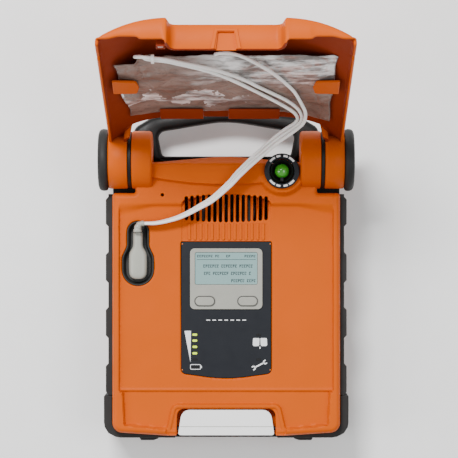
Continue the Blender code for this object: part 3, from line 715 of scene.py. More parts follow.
def fine_lines():
    """Extra mesh points along the narrow steps of the face."""
    loops = [[(x, y) for x in np.arange(-96, 96, 1.6)] for y in np.arange(-87.4, -82.9, 0.5)]
    for side, _ in SIDES:
        loops += [[(side * x, y) for y in np.arange(-118, 90, 1.6)] for x in np.arange(95.2, 97.6, 0.45)]
    loops += [[(x, ridge_line(x) + d) for x in np.arange(-81, 81, 1.4)] for d in np.arange(-0.6, 2.4, 0.5)]
    loops += [dense(offset_loop(GRILLE, d), 1.3) for d in (-0.6, -0.3, 0, 0.3, 0.6)]
    loops += [dense(offset_loop(SURROUND, d), 1.3) for d in (-0.8, -0.4, 0, 0.4, 0.8, 2.6, 3.2, 3.8, 4.4)]
    return loops


def ridge_line(x):
    """Where the raised shoulder starts, curving up towards the sides."""
    return 99.4 + 9.6 * (x / SHOULDER_HALF) ** 2


def front_height(points, outline, holes):
    """Height of the front housing's surface over the plan."""
    x, y = points[:, 0], points[:, 1]
    width = np.abs(x)
    edge = distance_to(points, outline)
    low_edge = 80.6 - 7.0 * smooth((width - 60) / 36)
    z = FACE_Z + (UPPER_Z - FACE_Z) * smooth((y - low_edge) / (83.4 - low_edge))
    z = z + (GRILLE_Z - z) * smooth((depth_in(points, GRILLE, 3) + 0.3) / 0.9)
    lower = smooth((-85.4 - y) / 1.5)
    z = z - 1.5 * lower + 0.5 * np.exp(-((y + 84.6) / 0.9) ** 2)
    depth = depth_in(points, SURROUND, 5)
    z = z + (67.6 - z) * smooth((depth + 0.8) / 1.6)
    z = z - 1.6 * smooth((depth - 2.6) / 2.0)
    side = 97.0 - 3.4 * lower - 0.05 * np.clip(-88 - y, 0, None)
    end = -117.0 - 3.4 * smooth((96 - width) / 42)
    floor = smooth((side - width) / 1.3) * np.maximum(smooth((y - end) / 1.5), smooth((depth + 0.8) / 1.6))
    z = BORDER_Z + (z - BORDER_Z) * floor
    step = y - ridge_line(x)
    shoulder_top = SHOULDER_Z - 1.8 + 1.8 * smooth(step / 14.0)
    z = z + (shoulder_top - z) * smooth((step + 0.2) / 1.6) * smooth((SHOULDER_HALF + 1 - width) / 2)
    collar = np.hypot(x - STATUS[0], y - STATUS[1])
    z = np.where(y > 86, z + (SHOULDER_Z - z) * smooth((22.6 - collar) / 3.4), z)
    back = smooth((70 - width) / 8)
    z = z - 15.0 * smooth((y - 117.6) / 10.5) * back
    shoulder = smooth((y - 92.0) / 6.0)
    z = z - roll(edge, 4.6, 6.5) * (1 - shoulder) - roll(edge, 2.6, 3.0) * shoulder
    for loop, lip in holes:
        near = near_only(points, loop, 3, distance_to, 9)
        z = z - roll(near, lip, lip)
    return z


def make_grille_ribs():
    """Raised ribs under the speaker slots, in line with the bars between them."""
    bars = SLOTS - 1
    for k in range(bars):
        x = (k - (bars - 1) / 2) * SLOT_PITCH
        rib = prism_mesh(rectangle(x - 1.25, x + 1.25, 50.4, 65.4, 0.6), 64.6, 66.5)
        bevelled(add_piece("grille_rib_%d" % (k + 1), rib, "orange", "root"), 0.35, 2)


def front_openings():
    """The face's openings: each one's outline, the radius of its rolled lip and the depth of its wall."""
    openings = [(panel_outline(0.35), 0.8, 5), (socket_outline(0.3), 1.0, 8)]
    openings += [(arc(STATUS, 11.2, 0, 352.5, 47), 0.5, 6), (arc((-57.5, 91.0), 1.5, 0, 337.5, 15), 0.5, 5)]
    return openings + [(outline, 0.6, 4.5) for outline in slot_outlines()]


def make_front_housing():
    """One surface over the whole plan, with walls down through its openings and a skirt round its edge."""
    outer = dense_loops(NOTCHED, [0], 2.0)[0]
    notch = [p for p in outer if abs(p[0]) < LATCH_HALF + 1.5 and -126.0 < p[1] < -90]
    notch.sort(key=lambda p: (p[0], p[1] if p[0] > 0 else -p[1]))
    openings = front_openings()
    support = fine_lines()
    for loop, lip, _ in openings:
        support += [offset_loop(loop, -lip * 0.35), offset_loop(loop, -lip)]
    for inset in (0.3, 0.8, 1.5, 2.4, 3.4, 4.4, 5.2, 6.0):
        support.append(dense_loops(NOTCHED, [inset], 1.6)[0])
    plan, faces, rings = conforming(outer, [loop for loop, _, _ in openings], 1.5, support)
    body = dense_loops(OUTLINE, [0], 3.0)[0]
    height = front_height(plan, body, [(loop, lip) for loop, lip, _ in openings])
    height = height - roll(distance_to(plan, notch, closed=False), 0.9, 0.9)
    points = [(x, y, z) for (x, y), z in zip(plan, height)]
    for ring, (_, _, depth) in zip(rings[1:], openings):
        edge = [points[i] for i in ring]
        add_rings(points, faces, ring, [[(x, y, z - depth) for x, y, z in edge]])
    edge = [points[i] for i in rings[0]]
    foot = [52.5 if abs(x) < LATCH_HALF + 1.0 and y < -100 else SKIRT_Z for x, y, _ in edge]
    add_rings(points, faces, rings[0], [[(x, y, z) for (x, y, _), z in zip(edge, foot)]])
    add_piece("front_shell", solid(points, faces), "orange", "root", 50, "front_housing")
    tray = box_mesh((-50, 50), (-125.6, -99), (48, 52.6))
    bevelled(add_piece("latch_tray", tray, "orange", "root"), 0.5)


def make_hinge_posts():
    """Drums of the front housing beside the lid's ears, each with a blind hole for its pin."""
    near, far = 66.5, 85.0
    profile = [(0, near), (BARREL - 3, near), (BARREL - 1.2, near + 0.5), (BARREL - 0.3, near + 1.6),
               (BARREL, near + 3), (BARREL, far - 1.2), (BARREL - 0.35, far - 0.35), (BARREL - 1.2, far),
               (PIN_HOLE, far), (PIN_HOLE, far - 6), (0, far - 6)]
    for side, word in SIDES:
        add_piece("hinge_post_" + word, hinge_turned(profile, side), "orange", "root", 45)


def make_hinge_seams():
    """Dark friction washers between posts and ears, and a black block as painted shade on the floor of each
    ear's pocket.
    """
    washer = [(8.6, 85.3), (25.3, 85.3), (25.6, 85.6), (25.6, 87.9), (25.3, 88.2), (8.6, 88.2)]
    for side, word in SIDES:
        add_piece("hinge_washer_" + word, hinge_turned(washer, side, True), "black", "root")
        # Painted shade: a black block stands in for the shadow in each ear's pocket.
        floor = box_mesh(sorted((side * 82.2, side * 103.5)), (89.5, 121.0), (37.0, 40.0))
        bevelled(add_piece("ear_pocket_shade_" + word, floor, "black", "root"), 0.6)


# ---------------------------------------------------------------- lid

LID_CORNERS = mirrored([(44, -NOTCH_START, 5), (47.5, -LID_END, 2), (LID_HALF, -LID_END, 6),
                        (LID_HALF, -16, 1), (89.0, -16, 1), (88.0, -31, 6), (84, -33, 6)])


def crown_height(x):
    """Height of the lid's outer surface across its width, before its edges are rolled."""
    return LID_CROWN - 19 * np.clip((np.abs(x) - 42) / 62.5, 0, 1) ** 2.3


def hinge_side(points):
    """1 on the lid's open edge between the arms, 0 elsewhere."""
    x, s = points[:, 0], -points[:, 1]
    return smooth((86.5 - np.abs(x)) / 3.0) * smooth((40 - s) / 4.0)


def rim_height(points):
    """Height of the lid's rim: raised along each wing's end, with a dent in each side."""
    x, s = np.abs(points[:, 0]), -points[:, 1]
    wing = smooth((s - 240) / 3.0) * smooth((x - 48) / 2.0)
    raised = 3.6 + 2.2 * smooth((x - 68) / 4.0) * smooth((96 - x) / 12.0)
    dent = 2.2 * smooth((3.5 - np.abs(s - 214)) / 1.5) * (x > 95)
    return LID_RIM + raised * wing + dent


def lid_skin(points, faces, loop, inset, edge_roll, hinge_roll, clearance):
    """Add the lid's outer or inner skin within a loop, with rolled edges; returns the loop's places."""
    support = [offset_loop(loop, d) for d in (0.3, 0.8, 1.5, 2.6, 4.0)]
    plan, found, rings = conforming(loop, [], 2.2, support)
    edge = distance_to(plan, loop)
    free = hinge_side(plan)
    h = crown_height(plan[:, 0]) - inset
    h = h - roll(edge, edge_roll, edge_roll) * (1 - free) - roll(edge, 0.8, 0.8) * free * hinge_roll
    h = np.maximum(h, rim_height(plan) + clearance)
    start = len(points)
    points += [(x, y, z) for (x, y), z in zip(plan, h)]
    faces += [tuple(start + i for i in f) for f in found]
    return [start + i for i in rings[0]]


def make_lid_shell():
    insets = [0, 0.6, LID_WALL - 0.6, LID_WALL]
    outer, soft_out, soft_in, inner = dense_loops(LID_CORNERS, insets, 2.0)
    points, faces = [], []
    outer_ring = lid_skin(points, faces, outer, 0.0, 2.6, 1, 1.2)
    inner_ring = lid_skin(points, faces, inner, LID_WALL, 2.0, -1, 0.9)

    def rim_loop(loop, lift):
        """The rim's points; along the open edge they lie half way between the two skins."""
        plan = np.array(loop)
        rim = rim_height(plan) + lift
        free = hinge_side(plan)
        middle = [(points[a][2] + points[b][2]) / 2 for a, b in zip(outer_ring, inner_ring)]
        return [(x, y, r * (1 - f) + m * f) for (x, y), r, f, m in zip(loop, rim, free, middle)]

    layers = [rim_loop(outer, 0.6), rim_loop(soft_out, 0), rim_loop(soft_in, 0), rim_loop(inner, 0.6)]
    last = add_rings(points, faces, outer_ring, layers)
    for i in range(len(last)):
        j = (i + 1) % len(last)
        faces.append((last[i], last[j], inner_ring[j], inner_ring[i]))
    matrix = lid_matrix()
    mesh = solid([matrix @ Vector(p) for p in points], faces)
    cover = add_piece("lid_cover", mesh, "orange", "lid", 50, "lid_shell")
    paint_shade_inside_lid(mesh)
    cut_recess(cover)
    low, edge = LID_RIM + 0.4, CATCH_TOP + 0.3
    outline = [(-12.2, low), (-9.4, low), (-6.9, edge), (6.9, edge), (9.4, low), (12.2, low),
               (9.4, CATCH_TOP + 2.6), (-9.4, CATCH_TOP + 2.6)]
    raised = end_prism(outline, NOTCH_START - 0.6, NOTCH_START + 1.1)
    bevelled(add_piece("catch_frame", raised, "orange", "lid"), 0.35, 2)


def paint_shade_inside_lid(mesh):
    """Give the faces that look into the lid the darker orange, as painted shade inside the lid."""
    mesh.materials.append(looks["inner"].material)
    closed = lid_matrix().inverted()
    deepest = lid_matrix().to_3x3() @ Vector((0, 0, -1))
    for face in mesh.polygons:
        x, y, _ = closed @ (face.center / MM)
        within = abs(x) < LID_HALF - LID_WALL + 0.4 and -y < LID_END - LID_WALL + 0.4
        face.material_index = int(within and face.normal.dot(deepest) > 0.05)


def cut_recess(cover):
    """Cut the catch's tapered recess into the lid's end wall."""
    recess = [(-9, 0), (9, 0), (6.5, CATCH_TOP), (-6.5, CATCH_TOP)]
    cutter = bpy.data.objects.new("catch_cutter", end_prism(recess, NOTCH_START - 2.1, NOTCH_START + 5))
    bpy.context.collection.objects.link(cutter)
    boolean = cover.modifiers.new("catch", "BOOLEAN")
    boolean.operation = "DIFFERENCE"
    boolean.solver = "EXACT"
    boolean.object = cutter
    evaluated = cover.evaluated_get(bpy.context.evaluated_depsgraph_get())
    carved = bpy.data.meshes.new_from_object(evaluated)
    cover.modifiers.clear()
    cover.data = carved
    bpy.data.objects.remove(cutter)


def make_lid_ears():
    """The lid's ears round the hinge pins, and the rubber cap on each."""
    near, far = 88.5, 106.0
    ear = [(EAR_BORE, near), (BARREL - 1.2, near), (BARREL - 0.35, near + 0.35), (BARREL, near + 1.2),
           (BARREL, far - 1.0), (BARREL - 1.0, far), (EAR_BORE, far)]
    cap = [(0, 106.3), (25.0, 106.3), (26.6, 106.6), (27.6, 107.6), (28, 109.2), (28, 111.0), (27.5, 112.8),
           (26.2, 114.2), (24.2, 114.9), (21.0, 115.0), (20.4, 114.6), (19.8, 114.2), (0, 114.2)]
    for side, word in SIDES:
        add_piece("lid_ear_" + word, hinge_turned(ear, side, True), "orange", "lid", 45)
        add_piece("ear_cap_" + word, hinge_turned(cap, side), "rubber", "lid", 45, "hinge_cap_" + word)


def make_lid_clips():
    """The clips that hold the pouch along its sides and lower edge, and the magnet's cup."""
    corners = [(95, -134, 0.5), (95, -160.5, 0.5), (75, -159.5, 3.5), (73, -147, 8), (75, -135, 3.5)]
    for side, word in SIDES:
        clip = prism_mesh([(side * x, y) for x, y in rounded(corners)], 9.3, 11.4, lid_matrix())
        bevelled(add_piece("side_clip_" + word, clip, "orange", "lid", 40, "pouch_clip_" + word), 0.7)
    # The lower edge clips and the magnet cup take the darker inside orange: painted shade deep in the lid.
    for word in ("lower_left", "lower_right"):
        refined("edge_clip_" + word, "pouch_clip_" + word, "inner", "lid", 0.8)
    refined("magnet_cup", "magnet_holder", "inner", "lid", 0.5)


# ---------------------------------------------------------------- pads pouch

def lid_inside(x):
    return crown_height(x) - LID_WALL


def pouch_plan(u, v):
    """Where a place on the sheet lies in the lid: across it, and along it from the hinge."""
    left = -84 - 9 * v + 1.6 * np.sin(v * 9)
    right = 90 + 1.5 * v + 0.8 * np.sin(v * 12 + 1)
    x = left + (right - left) * u
    far = 189 + 10 * smooth((x + 74) / 30) + 9.5 * smooth((x + 75) / 4) * smooth((-56 - x) / 6)
    far = far - 1.5 * np.sin(x * 0.11)
    near = 58 + 2.5 * np.sin(x * 0.06 + 1) + 4 * (1 - smooth((x + 84) / 10)) + 2 * smooth((x - 80) / 8)
    return x, near + (far - near) * v


def drop_loose(bm):
    bmesh.ops.delete(bm, geom=[v for v in bm.verts if not v.link_faces], context="VERTS")


def make_pouch():
    """A slack foil pouch: two sheets sealed round the edge, puffed up in a cloth simulation and creased."""
    columns, rows = POUCH_COLUMNS, POUCH_ROWS
    u, v = np.meshgrid(np.linspace(0, 1, columns + 1), np.linspace(0, 1, rows + 1))
    x, s = pouch_plan(u, v)
    rim = np.minimum.reduce([u, 1 - u, v, 1 - v]) > 0
    rise = np.sin(math.pi * u) * np.sin(math.pi * v) * rim
    sheets = [np.stack([x, -s, sign * 0.8 * rise], -1).reshape(-1, 3) for sign in (-1, 1)]
    points = np.concatenate(sheets)
    stride = (columns + 1) * (rows + 1)
    sealed = (~rim).reshape(-1)
    faces = []
    for layer in (0, 1):
        for j in range(rows):
            for i in range(columns):
                first = j * (columns + 1) + i
                corners = [first, first + 1, first + columns + 2, first + columns + 1]
                quad = [c if sealed[c] else c + layer * stride for c in corners]
                faces.append(quad if layer == 0 else quad[::-1])
    mesh = mesh_of(points, faces)
    rest = np.stack([u, v], -1).reshape(-1, 2)
    place = mesh.attributes.new("sheet_place", "FLOAT_VECTOR", "POINT")
    both = np.concatenate([np.c_[rest, np.full(stride, sign)] for sign in (-1, 1)])
    both[:stride][sealed, 2] = 0
    place.data.foreach_set("vector", both.astype(np.float32).ravel())
    reworked(mesh, drop_loose, face_out)
    pouch = linked("foil_pouch", mesh, "foil")
    blow_up(pouch)
    settle_pouch(mesh)
    mesh.transform(Matrix.Scale(MM, 4) @ lid_matrix() @ Matrix.Scale(1 / MM, 4))
    mesh.shade_smooth()
    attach(pouch, "lid")
    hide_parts("pads_pouch")


def blow_up(pouch):
    """Cloth with a little inner pressure wrinkles the sealed edges."""
    frames = 16
    cloth = pouch.modifiers.new("air", "CLOTH")
    cloth.settings.quality = 4
    cloth.settings.mass = 0.2
    cloth.settings.tension_stiffness = 40
    cloth.settings.compression_stiffness = 40
    cloth.settings.bending_stiffness = 0.05
    cloth.settings.use_pressure = True
    cloth.settings.uniform_pressure_force = 0.6
    cloth.settings.effector_weights.gravity = 0
    cloth.point_cache.frame_start = 1
    cloth.point_cache.frame_end = frames
    scene = bpy.context.scene
    for step in range(1, frames + 1):
        scene.frame_set(step)
    evaluated = pouch.evaluated_get(bpy.context.evaluated_depsgraph_get())
    moved = np.array([v.co for v in evaluated.data.vertices])
    pouch.modifiers.clear()
    rest = np.array([v.co for v in pouch.data.vertices])
    shift = moved - rest
    length = np.linalg.norm(shift, axis=1)[:, None]
    farthest = 0.009
    shift *= np.minimum(1, farthest / np.maximum(length, 1e-9))
    pouch.data.vertices.foreach_set("co", (rest + shift).astype(np.float32).ravel())
    scene.frame_set(1)


def waves(points, count, low, high, seed):
    """A sum of sharp-crested waves in seeded directions, from about -1 to 1."""
    draw = np.random.default_rng(seed)
    total = np.zeros(len(points))
    for _ in range(count):
        angle = draw.uniform(0, math.pi)
        length = draw.uniform(low, high)
        phase = draw.uniform(0, math.tau)
        along = points[:, 0] * math.cos(angle) + points[:, 1] * math.sin(angle)
        bend = 0.6 * np.sin(points[:, 0] * 0.03 + points[:, 1] * 0.05 + phase)
        total += 1 - 2 * np.abs(np.sin(math.pi * along / length + phase + bend))
    return total / count


def settle_pouch(mesh):
    """Lay the pouch in the lid: tucked against its inside at the hinge, full in the middle, and creased."""
    count = len(mesh.vertices)
    co = np.empty(count * 3, np.float32)
    mesh.vertices.foreach_get("co", co)
    co = co.reshape(-1, 3) / MM
    place = np.empty(count * 3, np.float32)
    mesh.attributes["sheet_place"].data.foreach_get("vector", place)
    u, v, layer = place.reshape(-1, 3).T
    plan = co[:, :2]
    x = plan[:, 0]
    ceiling = lid_inside(x) - 0.7
    settled = ceiling - 1.6 + (15.2 - ceiling + 1.6) * smooth(v / 0.48)
    end = 13.2 + 5.0 * smooth((x + 74) / 30) + 3.0 * smooth((x + 75) / 4) * smooth((-56 - x) / 6)
    settled = settled + (end - settled) * smooth((v - 0.74) / 0.26)
    body = np.minimum.reduce([smooth(u * 11), smooth((1 - u) * 11), smooth(v * 9), smooth((1 - v) * 8)])
    big = waves(plan, 4, 50, 110, 3)
    fold = waves(plan * (0.8, 1.3), 6, 16, 44, 5)
    streak = np.exp(-((v - 0.33 - 0.05 * np.sin(u * 7)) / 0.09) ** 2) * smooth((0.62 - u) / 0.12)
    fine = waves(plan * (0.55, 2.0), 7, 6, 15, 9) * (0.35 + 1.9 * streak) + waves(plan, 6, 5, 13, 21) * 0.3
    shape = settled + 1.3 * big + 1.0 * fold + 0.75 * fine
    half = 0.25 + 1.9 * body
    out = shape + np.sign(layer) * half + np.clip(co[:, 2], -2.5, 2.5) * 0.4
    tucked = 1 - smooth((v - 0.22) / 0.2)
    lowest = 12.1 + (lid_inside(x) - 4.6 - 12.1) * tucked
    out = np.maximum(out, lowest + 0.25 * (layer + 1))
    out = np.minimum(out, ceiling - 0.2 * (1 - layer))
    co[:, 2] = out
    mesh.vertices.foreach_set("co", (co * MM).astype(np.float32).ravel())


# ---------------------------------------------------------------- leads

BUNDLE_ROUTE = (
    (-73.4, 65.3, 72.2), (-61.5, 65.9, 72.6), (-47.1, 69.3, 74.0), (-35.6, 73.9, 76.0), (-23.5, 80.4, 78.8),
    (-11.8, 87.4, 82.0), (3.2, 100.7, 86.0), (10.5, 108.8, 88.5), (21.7, 119.6, 93.0), (32.6, 129.1, 99.5),
    (43.5, 138.3, 107.5), (54.1, 145.8, 117.0),
)
LID_ROUTES = {
    "lead_long": (
        (62.6, 70.5, 3.2), (67.6, 81.0, 5.0), (68.3, 96.0, 7.5), (64.0, 114.3, 9.2),
        (57.3, 137.9, 10.2), (47.5, 160.8, 10.2), (36.7, 181.1, 10.2), (26.2, 196.5, 10.3),
        (16.0, 204.4, 12.6), (5.0, 206.4, 15.6), (-4.2, 203.8, 17.0), (-9.0, 200.0, 17.6),
    ),
    "lead_middle": (
        (61.6, 68.8, 6.2), (65.6, 79.0, 8.0), (64.2, 91.5, 9.6), (59.8, 103.5, 10.2),
        (52.0, 117.4, 10.2), (41.1, 131.6, 10.2), (26.8, 148.7, 10.2), (12.9, 166.1, 10.2),
        (-4.3, 181.1, 10.2), (-21.2, 192.0, 10.2), (-39.8, 202.1, 10.2), (-49.8, 207.4, 10.2),
        (-60.0, 209.4, 10.4), (-68.2, 210.6, 10.8), (-73.6, 207.5, 12.2), (-73.4, 202.6, 14.4),
        (-69.6, 200.0, 16.2),
    ),
    "lead_short": (
        (60.0, 67.6, 9.2), (62.2, 76.6, 10.0), (59.8, 87.5, 10.2), (54.2, 98.5, 10.2),
        (41.4, 117.0, 10.2), (27.0, 136.0, 10.2), (13.0, 153.4, 10.2), (-4.3, 173.0, 10.2),
        (-21.3, 186.6, 10.2), (-39.9, 197.9, 10.2), (-49.9, 203.1, 10.2), (-60.1, 205.2, 10.4),
        (-65.6, 205.6, 11.4), (-67.0, 203.2, 13.6), (-64.0, 200.0, 15.8),
    ),
}


def smooth_route(points, spacing):
    """Points a fixed step apart on a smooth curve through the route's own points."""
    knots = [Vector(p) for p in points]
    knots = [knots[0] * 2 - knots[1]] + knots + [knots[-1] * 2 - knots[-2]]
    fine = []
    for a, b, c, d in zip(knots, knots[1:], knots[2:], knots[3:]):
        for i in range(24):
            t = i / 24
            fine.append(0.5 * (2 * b + (c - a) * t + (2 * a - 5 * b + 4 * c - d) * t ** 2
                               + (3 * b - a - 3 * c + d) * t ** 3))
    fine.append(knots[-2])
    lengths = np.concatenate([[0], np.cumsum([(b - a).length for a, b in zip(fine, fine[1:])])])
    count = round(lengths[-1] / spacing)
    targets = np.linspace(0, lengths[-1], count + 1)
    table = np.array(fine)
    return [Vector([np.interp(t, lengths, table[:, k]) for k in range(3)]) for t in targets], lengths[-1]


def strand_points(index, name):
    """Given points of one lead: beside its fellows on the device, then on its own in the lid."""
    points = []
    last = len(BUNDLE_ROUTE) - 1
    for i, point in enumerate(BUNDLE_ROUTE):
        ahead = Vector(BUNDLE_ROUTE[min(i + 1, last)]) - Vector(BUNDLE_ROUTE[max(i - 1, 0)])
        side = ahead.cross(Vector((0, 0, 1))).normalized()
        up = side.cross(ahead).normalized()
        turn = math.radians(90 - 62 * i / last)
        out = side * math.cos(turn) + up * math.sin(turn)
        points.append(tuple(Vector(point) + out * STRAND_GAP * index))
    return points + [tuple(lid_point(*p)) for p in LID_ROUTES[name]]


def heading(route, i):
    """The direction of a route at one of its points."""
    return (route[min(i + 1, len(route) - 1)] - route[max(i - 1, 0)]).normalized()


def tube_mesh(route, radius, sides=16):
    """A round tube along a route, with frames carried along it so that it doesn't twist."""
    rings = []
    normal = None
    turns = [math.tau * k / sides for k in range(sides)]
    for i, here in enumerate(route):
        ahead = heading(route, i)
        normal = ahead.orthogonal() if normal is None else normal - ahead * normal.dot(ahead)
        normal.normalize()
        other = ahead.cross(normal)
        rings.append([here + (normal * math.cos(a) + other * math.sin(a)) * radius for a in turns])
    return loft(rings)


def make_leads():
    for index, name in ((1, "lead_long"), (0, "lead_middle"), (-1, "lead_short")):
        route, length = smooth_route(strand_points(index, name), 2.0)
        wire = linked(name.replace("lead", "wire"), tube_mesh(route, LEAD_RADIUS), "lead")
        wire.data.shade_smooth()
        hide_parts(name)
        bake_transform(wire)


# ---------------------------------------------------------------- connector

def squared_turns(sides, power):
    """Cosines and sines round a turn, pushed towards a square by a power below 1."""
    pairs = []
    for k in range(sides):
        c, s = math.cos(math.tau * k / sides), math.sin(math.tau * k / sides)
        pairs.append((math.copysign(abs(c) ** power, c), math.copysign(abs(s) ** power, s)))
    return pairs


def make_socket():
    """The keyhole-shaped dish that takes the plug."""
    rim = socket_outline()
    steps = [(0, 58.0), (0, 66.2), (0.4, 66.6), (0.8, 66.6), (1.2, 66.0), (2.0, 60.0), (3.2, 57.8)]
    dish = loft([[(x, y, z) for x, y in (offset_loop(rim, inset) if inset else rim)] for inset, z in steps])
    add_piece("socket_dish", dish, "socket", "root", 40, "pad_socket")


def make_plug():
    """The plug's flat head, narrowing to its neck."""
    middle, tall, corner = 63.4, 7.2, 0.62
    ends = [(15.2, 0.35), (15.9, 0.62), (17.2, 0.82), (19.2, 0.95), (22, 1.0)]
    sections = [(y, 8.1 * w, 3.2 + 4.0 * w, corner) for y, w in ends]
    neck = [(27, 8.2), (33, 8.2), (37, 8.0), (39.6, 7.3), (41.6, 6.2), (43.2, 5.2), (44.8, 4.7), (47, 4.45),
            (56.4, 4.35), (57.2, 3.9)]
    sections += [(y, w, tall, corner + 0.1 * (8.2 - w) / 4) for y, w in neck]
    rings = []
    for y, wide, high, power in sections:
        rings.append([(SOCKET_X + wide * c, y, middle + high * s) for c, s in squared_turns(48, power)])
    add_piece("plug_body", loft(rings), "plug", "root", 50, "pad_plug")


def make_elbow():
    """The ribbed strain relief that turns from the plug towards the leads."""
    x = SOCKET_X
    bend = [(x + 0.8, 63.2, 72.3), (x + 2.8, 65.0, 72.3), (x + 5.9, 65.3, 72.3)]
    route, _ = smooth_route([(x, 57.8, 71.8), (x, 60.4, 72.2)] + bend, 0.5)
    rings = []
    for i, here in enumerate(route):
        t = i / (len(route) - 1)
        side = heading(route, i).cross(Vector((0, 0, 1))).normalized()
        groove = (math.cos(i * 1.1) > 0.3) * (0.15 < t < 0.9)
        wide = 3.9 + (2.4 - 3.9) * t - 0.35 * groove
        tall = 5.3 + (5.2 - 5.3) * t - 0.3 * groove
        rings.append([here + side * wide * c + Vector((0, 0, tall * s)) for c, s in squared_turns(32, 0.75)])
    add_piece("plug_elbow", loft(rings), "plug", "root", 60, "plug_boot")


# ---------------------------------------------------------------- panel graphics

def decal(name, outline, look, z=PANEL_Z, lift=0.12):
    """A thin flat shape on a surface of the device."""
    return add_piece(name, prism_mesh(outline, z + 0.01, z + lift), look, "root")


def ring_decal(name, outline, width, look, z, lift=0.12):
    """A flat ring along an outline, as wide as given."""
    inner = offset_loop(outline, width)
    loops = [[(x, y, z + h) for x, y in loop] for loop, h in
             ((outline, 0.01), (inner, 0.01), (inner, lift), (outline, lift))]
    points = list(loops[0])
    faces = []
    first = list(range(len(outline)))
    last = add_rings(points, faces, first, loops[1:])
    for i in range(len(first)):
        j = (i + 1) % len(first)
        faces.append((last[i], last[j], first[j], first[i]))
    return add_piece(name, solid(points, faces), look, "root")


def make_panel_marks():
    decal("level_wedge", [(-37.6, -31.5), (-32.2, -59.8), (-31.8, -31.5)], "mark")
    ring_decal("battery_mark", rectangle(-32.5, -22.9, -66.4, -61.6, 1.1), 0.55, "mark", PANEL_Z)
    decal("battery_mark_tip", rectangle(-22.7, -21.9, -65.0, -63.0, 0.2), "mark")
    decal("battery_mark_charge", rectangle(-31.2, -24.2, -65.1, -62.9, 0.4), "unlit")
    decal("dark_slot", rectangle(-30.6, -25.8, -58.4, -56.4, 0.6), "unlit", lift=0.1)
    for side, word in SIDES:
        x = 30.4 + side * 3.6
        near, far = x - 2.9, x + 2.9
        lean = side * 0.3
        pad = [(near, -45.2, 1.4), (far, -45.2, 1.4), (far - lean, -38.0, 0.9), (near - lean, -38.0, 0.9)]
        decal("pads_mark_" + word, rounded(pad), "mark")
    decal("pads_mark_lead", rectangle(29.9, 30.9, -47.6, -45.7, 0.3), "mark")
    for k, (x, y) in enumerate(((-39.6, 46.9), (39.6, 46.9), (-39.6, -66.6), (39.6, -66.6))):
        decal("corner_dot_%d" % (k + 1), arc((x, y), 0.55, 0, 337.5, 15), "dot")
    make_wrench_mark()
    for k in range(7):
        x = -16.2 + k * 5.4
        decal("mode_tick_%d" % (k + 1), rectangle(x - 1.7, x + 1.7, -22.2, -21.4, 0.3), "mark", lift=0.1)
    for side, word in SIDES:
        x = side * 19.3
        key = arc((x + 4.65, -4.7), 3.95, -90, 90, 14) + arc((x - 4.65, -4.7), 3.95, 90, 270, 14)
        ring_decal("key_rim_" + word, offset_loop(key, -0.85), 0.8, "key_rim", 68.0, 0.45)


def make_wrench_mark():
    """An open-ended spanner: a shaft with a C at each end."""
    turn = Matrix.Translation((29.9, -62.3, 0)) @ Matrix.Rotation(math.radians(27), 4, "Z")
    shaft = [(-4.2, -0.62), (4.2, -0.62), (4.2, 0.62), (-4.2, 0.62)]
    jaws = [arc((5.9, 0), 2.05, 50, 310, 16) + arc((5.9, 0), 0.9, 310, 50, 16),
            arc((-5.9, 0), 2.05, 230, 490, 16) + arc((-5.9, 0), 0.9, 490, 230, 16)]
    names = ("service_mark_shaft", "service_mark_jaw_1", "service_mark_jaw_2")
    for name, outline in zip(names, [shaft] + jaws):
        decal(name, [tuple((turn @ Vector((x, y, 0))).xy) for x, y in outline], "mark")


def make_display_content():
    """Rows of small strokes that read as writing from afar but spell nothing."""
    top = DISPLAY_Z
    decal("display_rule", rectangle(-26.6, 26.6, 32.6, 33.0, 0.1), "ink", top, 0.08)
    rows = [(-26.2, 20.0, 35.9), (0.0, 3.0, 35.9), (16.5, 9.0, 35.9), (-22.5, 46.5, 27.0),
            (-20.0, 41.5, 20.4), (4.5, 21.5, 13.8)]
    for row, (start, width, y) in enumerate(rows):
        tall = 1.15 if row < 3 else 1.45
        x = start
        k = 0
        while x < start + width:
            k += 1
            if (k * 5 + row) % 8 == 0:
                x += 1.9
                continue
            name = "display_mark_%d_%d" % (row + 1, k)
            decal(name, rectangle(x, x + 0.62, y - tall, y + tall, 0.1), "ink", top, 0.06)
            low = y - tall if (k + row) % 3 else y - 0.25
            decal(name + "_bar", rectangle(x + 0.6, x + 1.5, low, low + 0.6, 0.1), "ink", top, 0.055)
            dot = rectangle(x + 0.95, x + 1.5, y + tall * 0.2, y + tall, 0.1)
            decal(name + "_dot", dot, "ink", top, 0.055)
            x += 2.05


